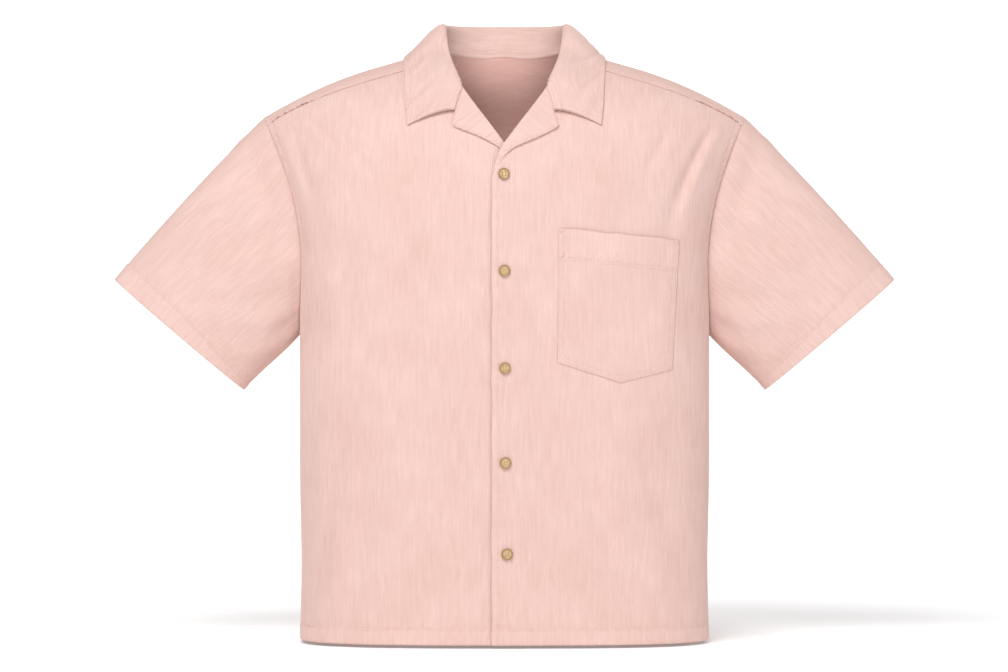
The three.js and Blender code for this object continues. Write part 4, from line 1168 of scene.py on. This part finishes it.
def horn(name):
    """Horn-look polyester resin, turned and polished: layered tans, darker from the dish to the rim."""
    material = new_material(name)
    body = add_node(material, "TexCoord")
    layers = add_node(
        material, "TexNoise", {0: body.outputs["Object"]}, scale=260, detail=4, distortion=1.6
    )
    tone = add_node(material, "MapRange", {0: layers}, from_min=0.3, from_max=0.7)
    from_middle = add_node(
        material, "Mapping", {0: body.outputs["Generated"]}, input_1=(-0.5, 0, -0.5), scale=(1, 0, 1)
    )
    radius = add_node(material, "VectorMath", {0: from_middle}, operation="LENGTH")
    rim = add_node(material, "MapRange", {0: radius.outputs["Value"]}, from_min=0.22, from_max=0.42)
    dish = add_node(
        material, "Mix", {"Factor": tone}, data_type="RGBA",
        input_6=linear("#C6A06C"), input_7=linear("#E6CFA2"),
    )
    mix = add_node(
        material, "Mix", {"Factor": rim, 6: dish.outputs[2]}, data_type="RGBA", input_7=linear("#A37B4C")
    )
    shader = add_node(
        material, "BsdfPrincipled", {"Base Color": mix.outputs[2]},
        roughness=0.28, coat_weight=0.5, coat_roughness=0.12,
    )
    add_node(material, "OutputMaterial", {0: shader})
    return material


HORN = horn("horn_resin")
for index in range(1, 6):
    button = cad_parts[f"button_{index}"]
    for slot in button.material_slots:
        slot.material = HORN

# Room
# A pale studio sweep whose far wall glows, a large soft panel above the camera with a weaker one to the
# right, and a white surround. A small lamp inside the shirt lights the upper part of its inside, as in
# the photo.

FLOOR_Z = -667.0
SWEEP_HALF = 6000.0  # to both sides and toward the camera
SWEEP_BEND_Y = 8300.0  # where the floor starts to bend up
SWEEP_RADIUS = 900.0
SWEEP_HEIGHT = 4500.0


def sweep():
    """Floor and wall in one sheet, joined by a quarter circle far behind the shirt."""
    turn = np.linspace(0, np.pi / 2, 16)
    y = np.concatenate(
        [[-SWEEP_HALF], SWEEP_BEND_Y + SWEEP_RADIUS * np.sin(turn), [SWEEP_BEND_Y + SWEEP_RADIUS]]
    )
    z = FLOOR_Z + np.concatenate([[0], SWEEP_RADIUS * (1 - np.cos(turn)), [SWEEP_HEIGHT]])
    grid_x, grid_y = np.meshgrid(np.array([-SWEEP_HALF, SWEEP_HALF]), y)
    return np.stack([grid_x, grid_y, np.repeat(z[:, None], 2, axis=1)], axis=-1)


# Background paper: matt and near white, with a glow that grows with distance behind the shirt.
paper = new_material("studio_paper")
place = add_node(paper, "TexCoord")
axes = add_node(paper, "SeparateXYZ", {0: place.outputs["Object"]})
glow = add_node(
    paper, "MapRange", {0: axes.outputs["Y"]}, from_min=0.05, from_max=2, to_min=0.2, to_max=0.7
)
shader = add_node(
    paper, "BsdfPrincipled", {"Emission Strength": glow},
    base_color=linear("#F9F9F9"), roughness=0.8, emission_color=(1, 1, 1, 1),
)
add_node(paper, "OutputMaterial", {0: shader})
points = sweep()
floor = make_mesh("studio_sweep", points, grid_faces(*points.shape[:2]), paper)
floor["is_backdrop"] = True

scene = bpy.context.scene
scene.view_settings.view_transform = "Standard"
world = bpy.data.worlds.new("white_room")
world.use_nodes = True
background = world.node_tree.nodes["Background"].inputs
background["Color"].default_value = (1, 1, 1, 1)
background["Strength"].default_value = 0.46
scene.world = world


def soft_light(name, place, aim, size, power, spread=180):
    """A square panel light at a place in metres, turned to its aim; spread is its beam in degrees."""
    light = bpy.data.lights.new(name, "AREA")
    light.size = size
    light.energy = power
    light.spread = np.radians(spread)
    lamp = bpy.data.objects.new(name, light)
    lamp.location = place
    toward = np.array(aim, float) - np.array(place, float)
    lamp.rotation_euler = Vector(toward).to_track_quat("-Z", "Y").to_euler()
    scene.collection.objects.link(lamp)


soft_light("key", (-0.7, -2.4, 2.3), (0, 0, -0.3), 1.4, 80)
soft_light("fill", (2.4, -2.2, 0.4), (0, 0, -0.3), 1.6, 12)
soft_light("inside", (0, -0.02, -0.14), (0, 0.04, -0.01), 0.06, 0.02, spread=50)

CAMERA_DISTANCE = 4.5
FRAME_WIDTH = 1.1592  # metres across the picture at the shoulder plane
camera_data = bpy.data.cameras.new("camera")
camera_data.sensor_width = 36
camera_data.lens = camera_data.sensor_width * CAMERA_DISTANCE / FRAME_WIDTH
camera = bpy.data.objects.new("camera", camera_data)
camera.location = (-0.0006, -CAMERA_DISTANCE, -0.317)
camera.rotation_euler = (np.pi / 2, 0, 0)
scene.collection.objects.link(camera)
scene.camera = camera

low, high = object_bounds()
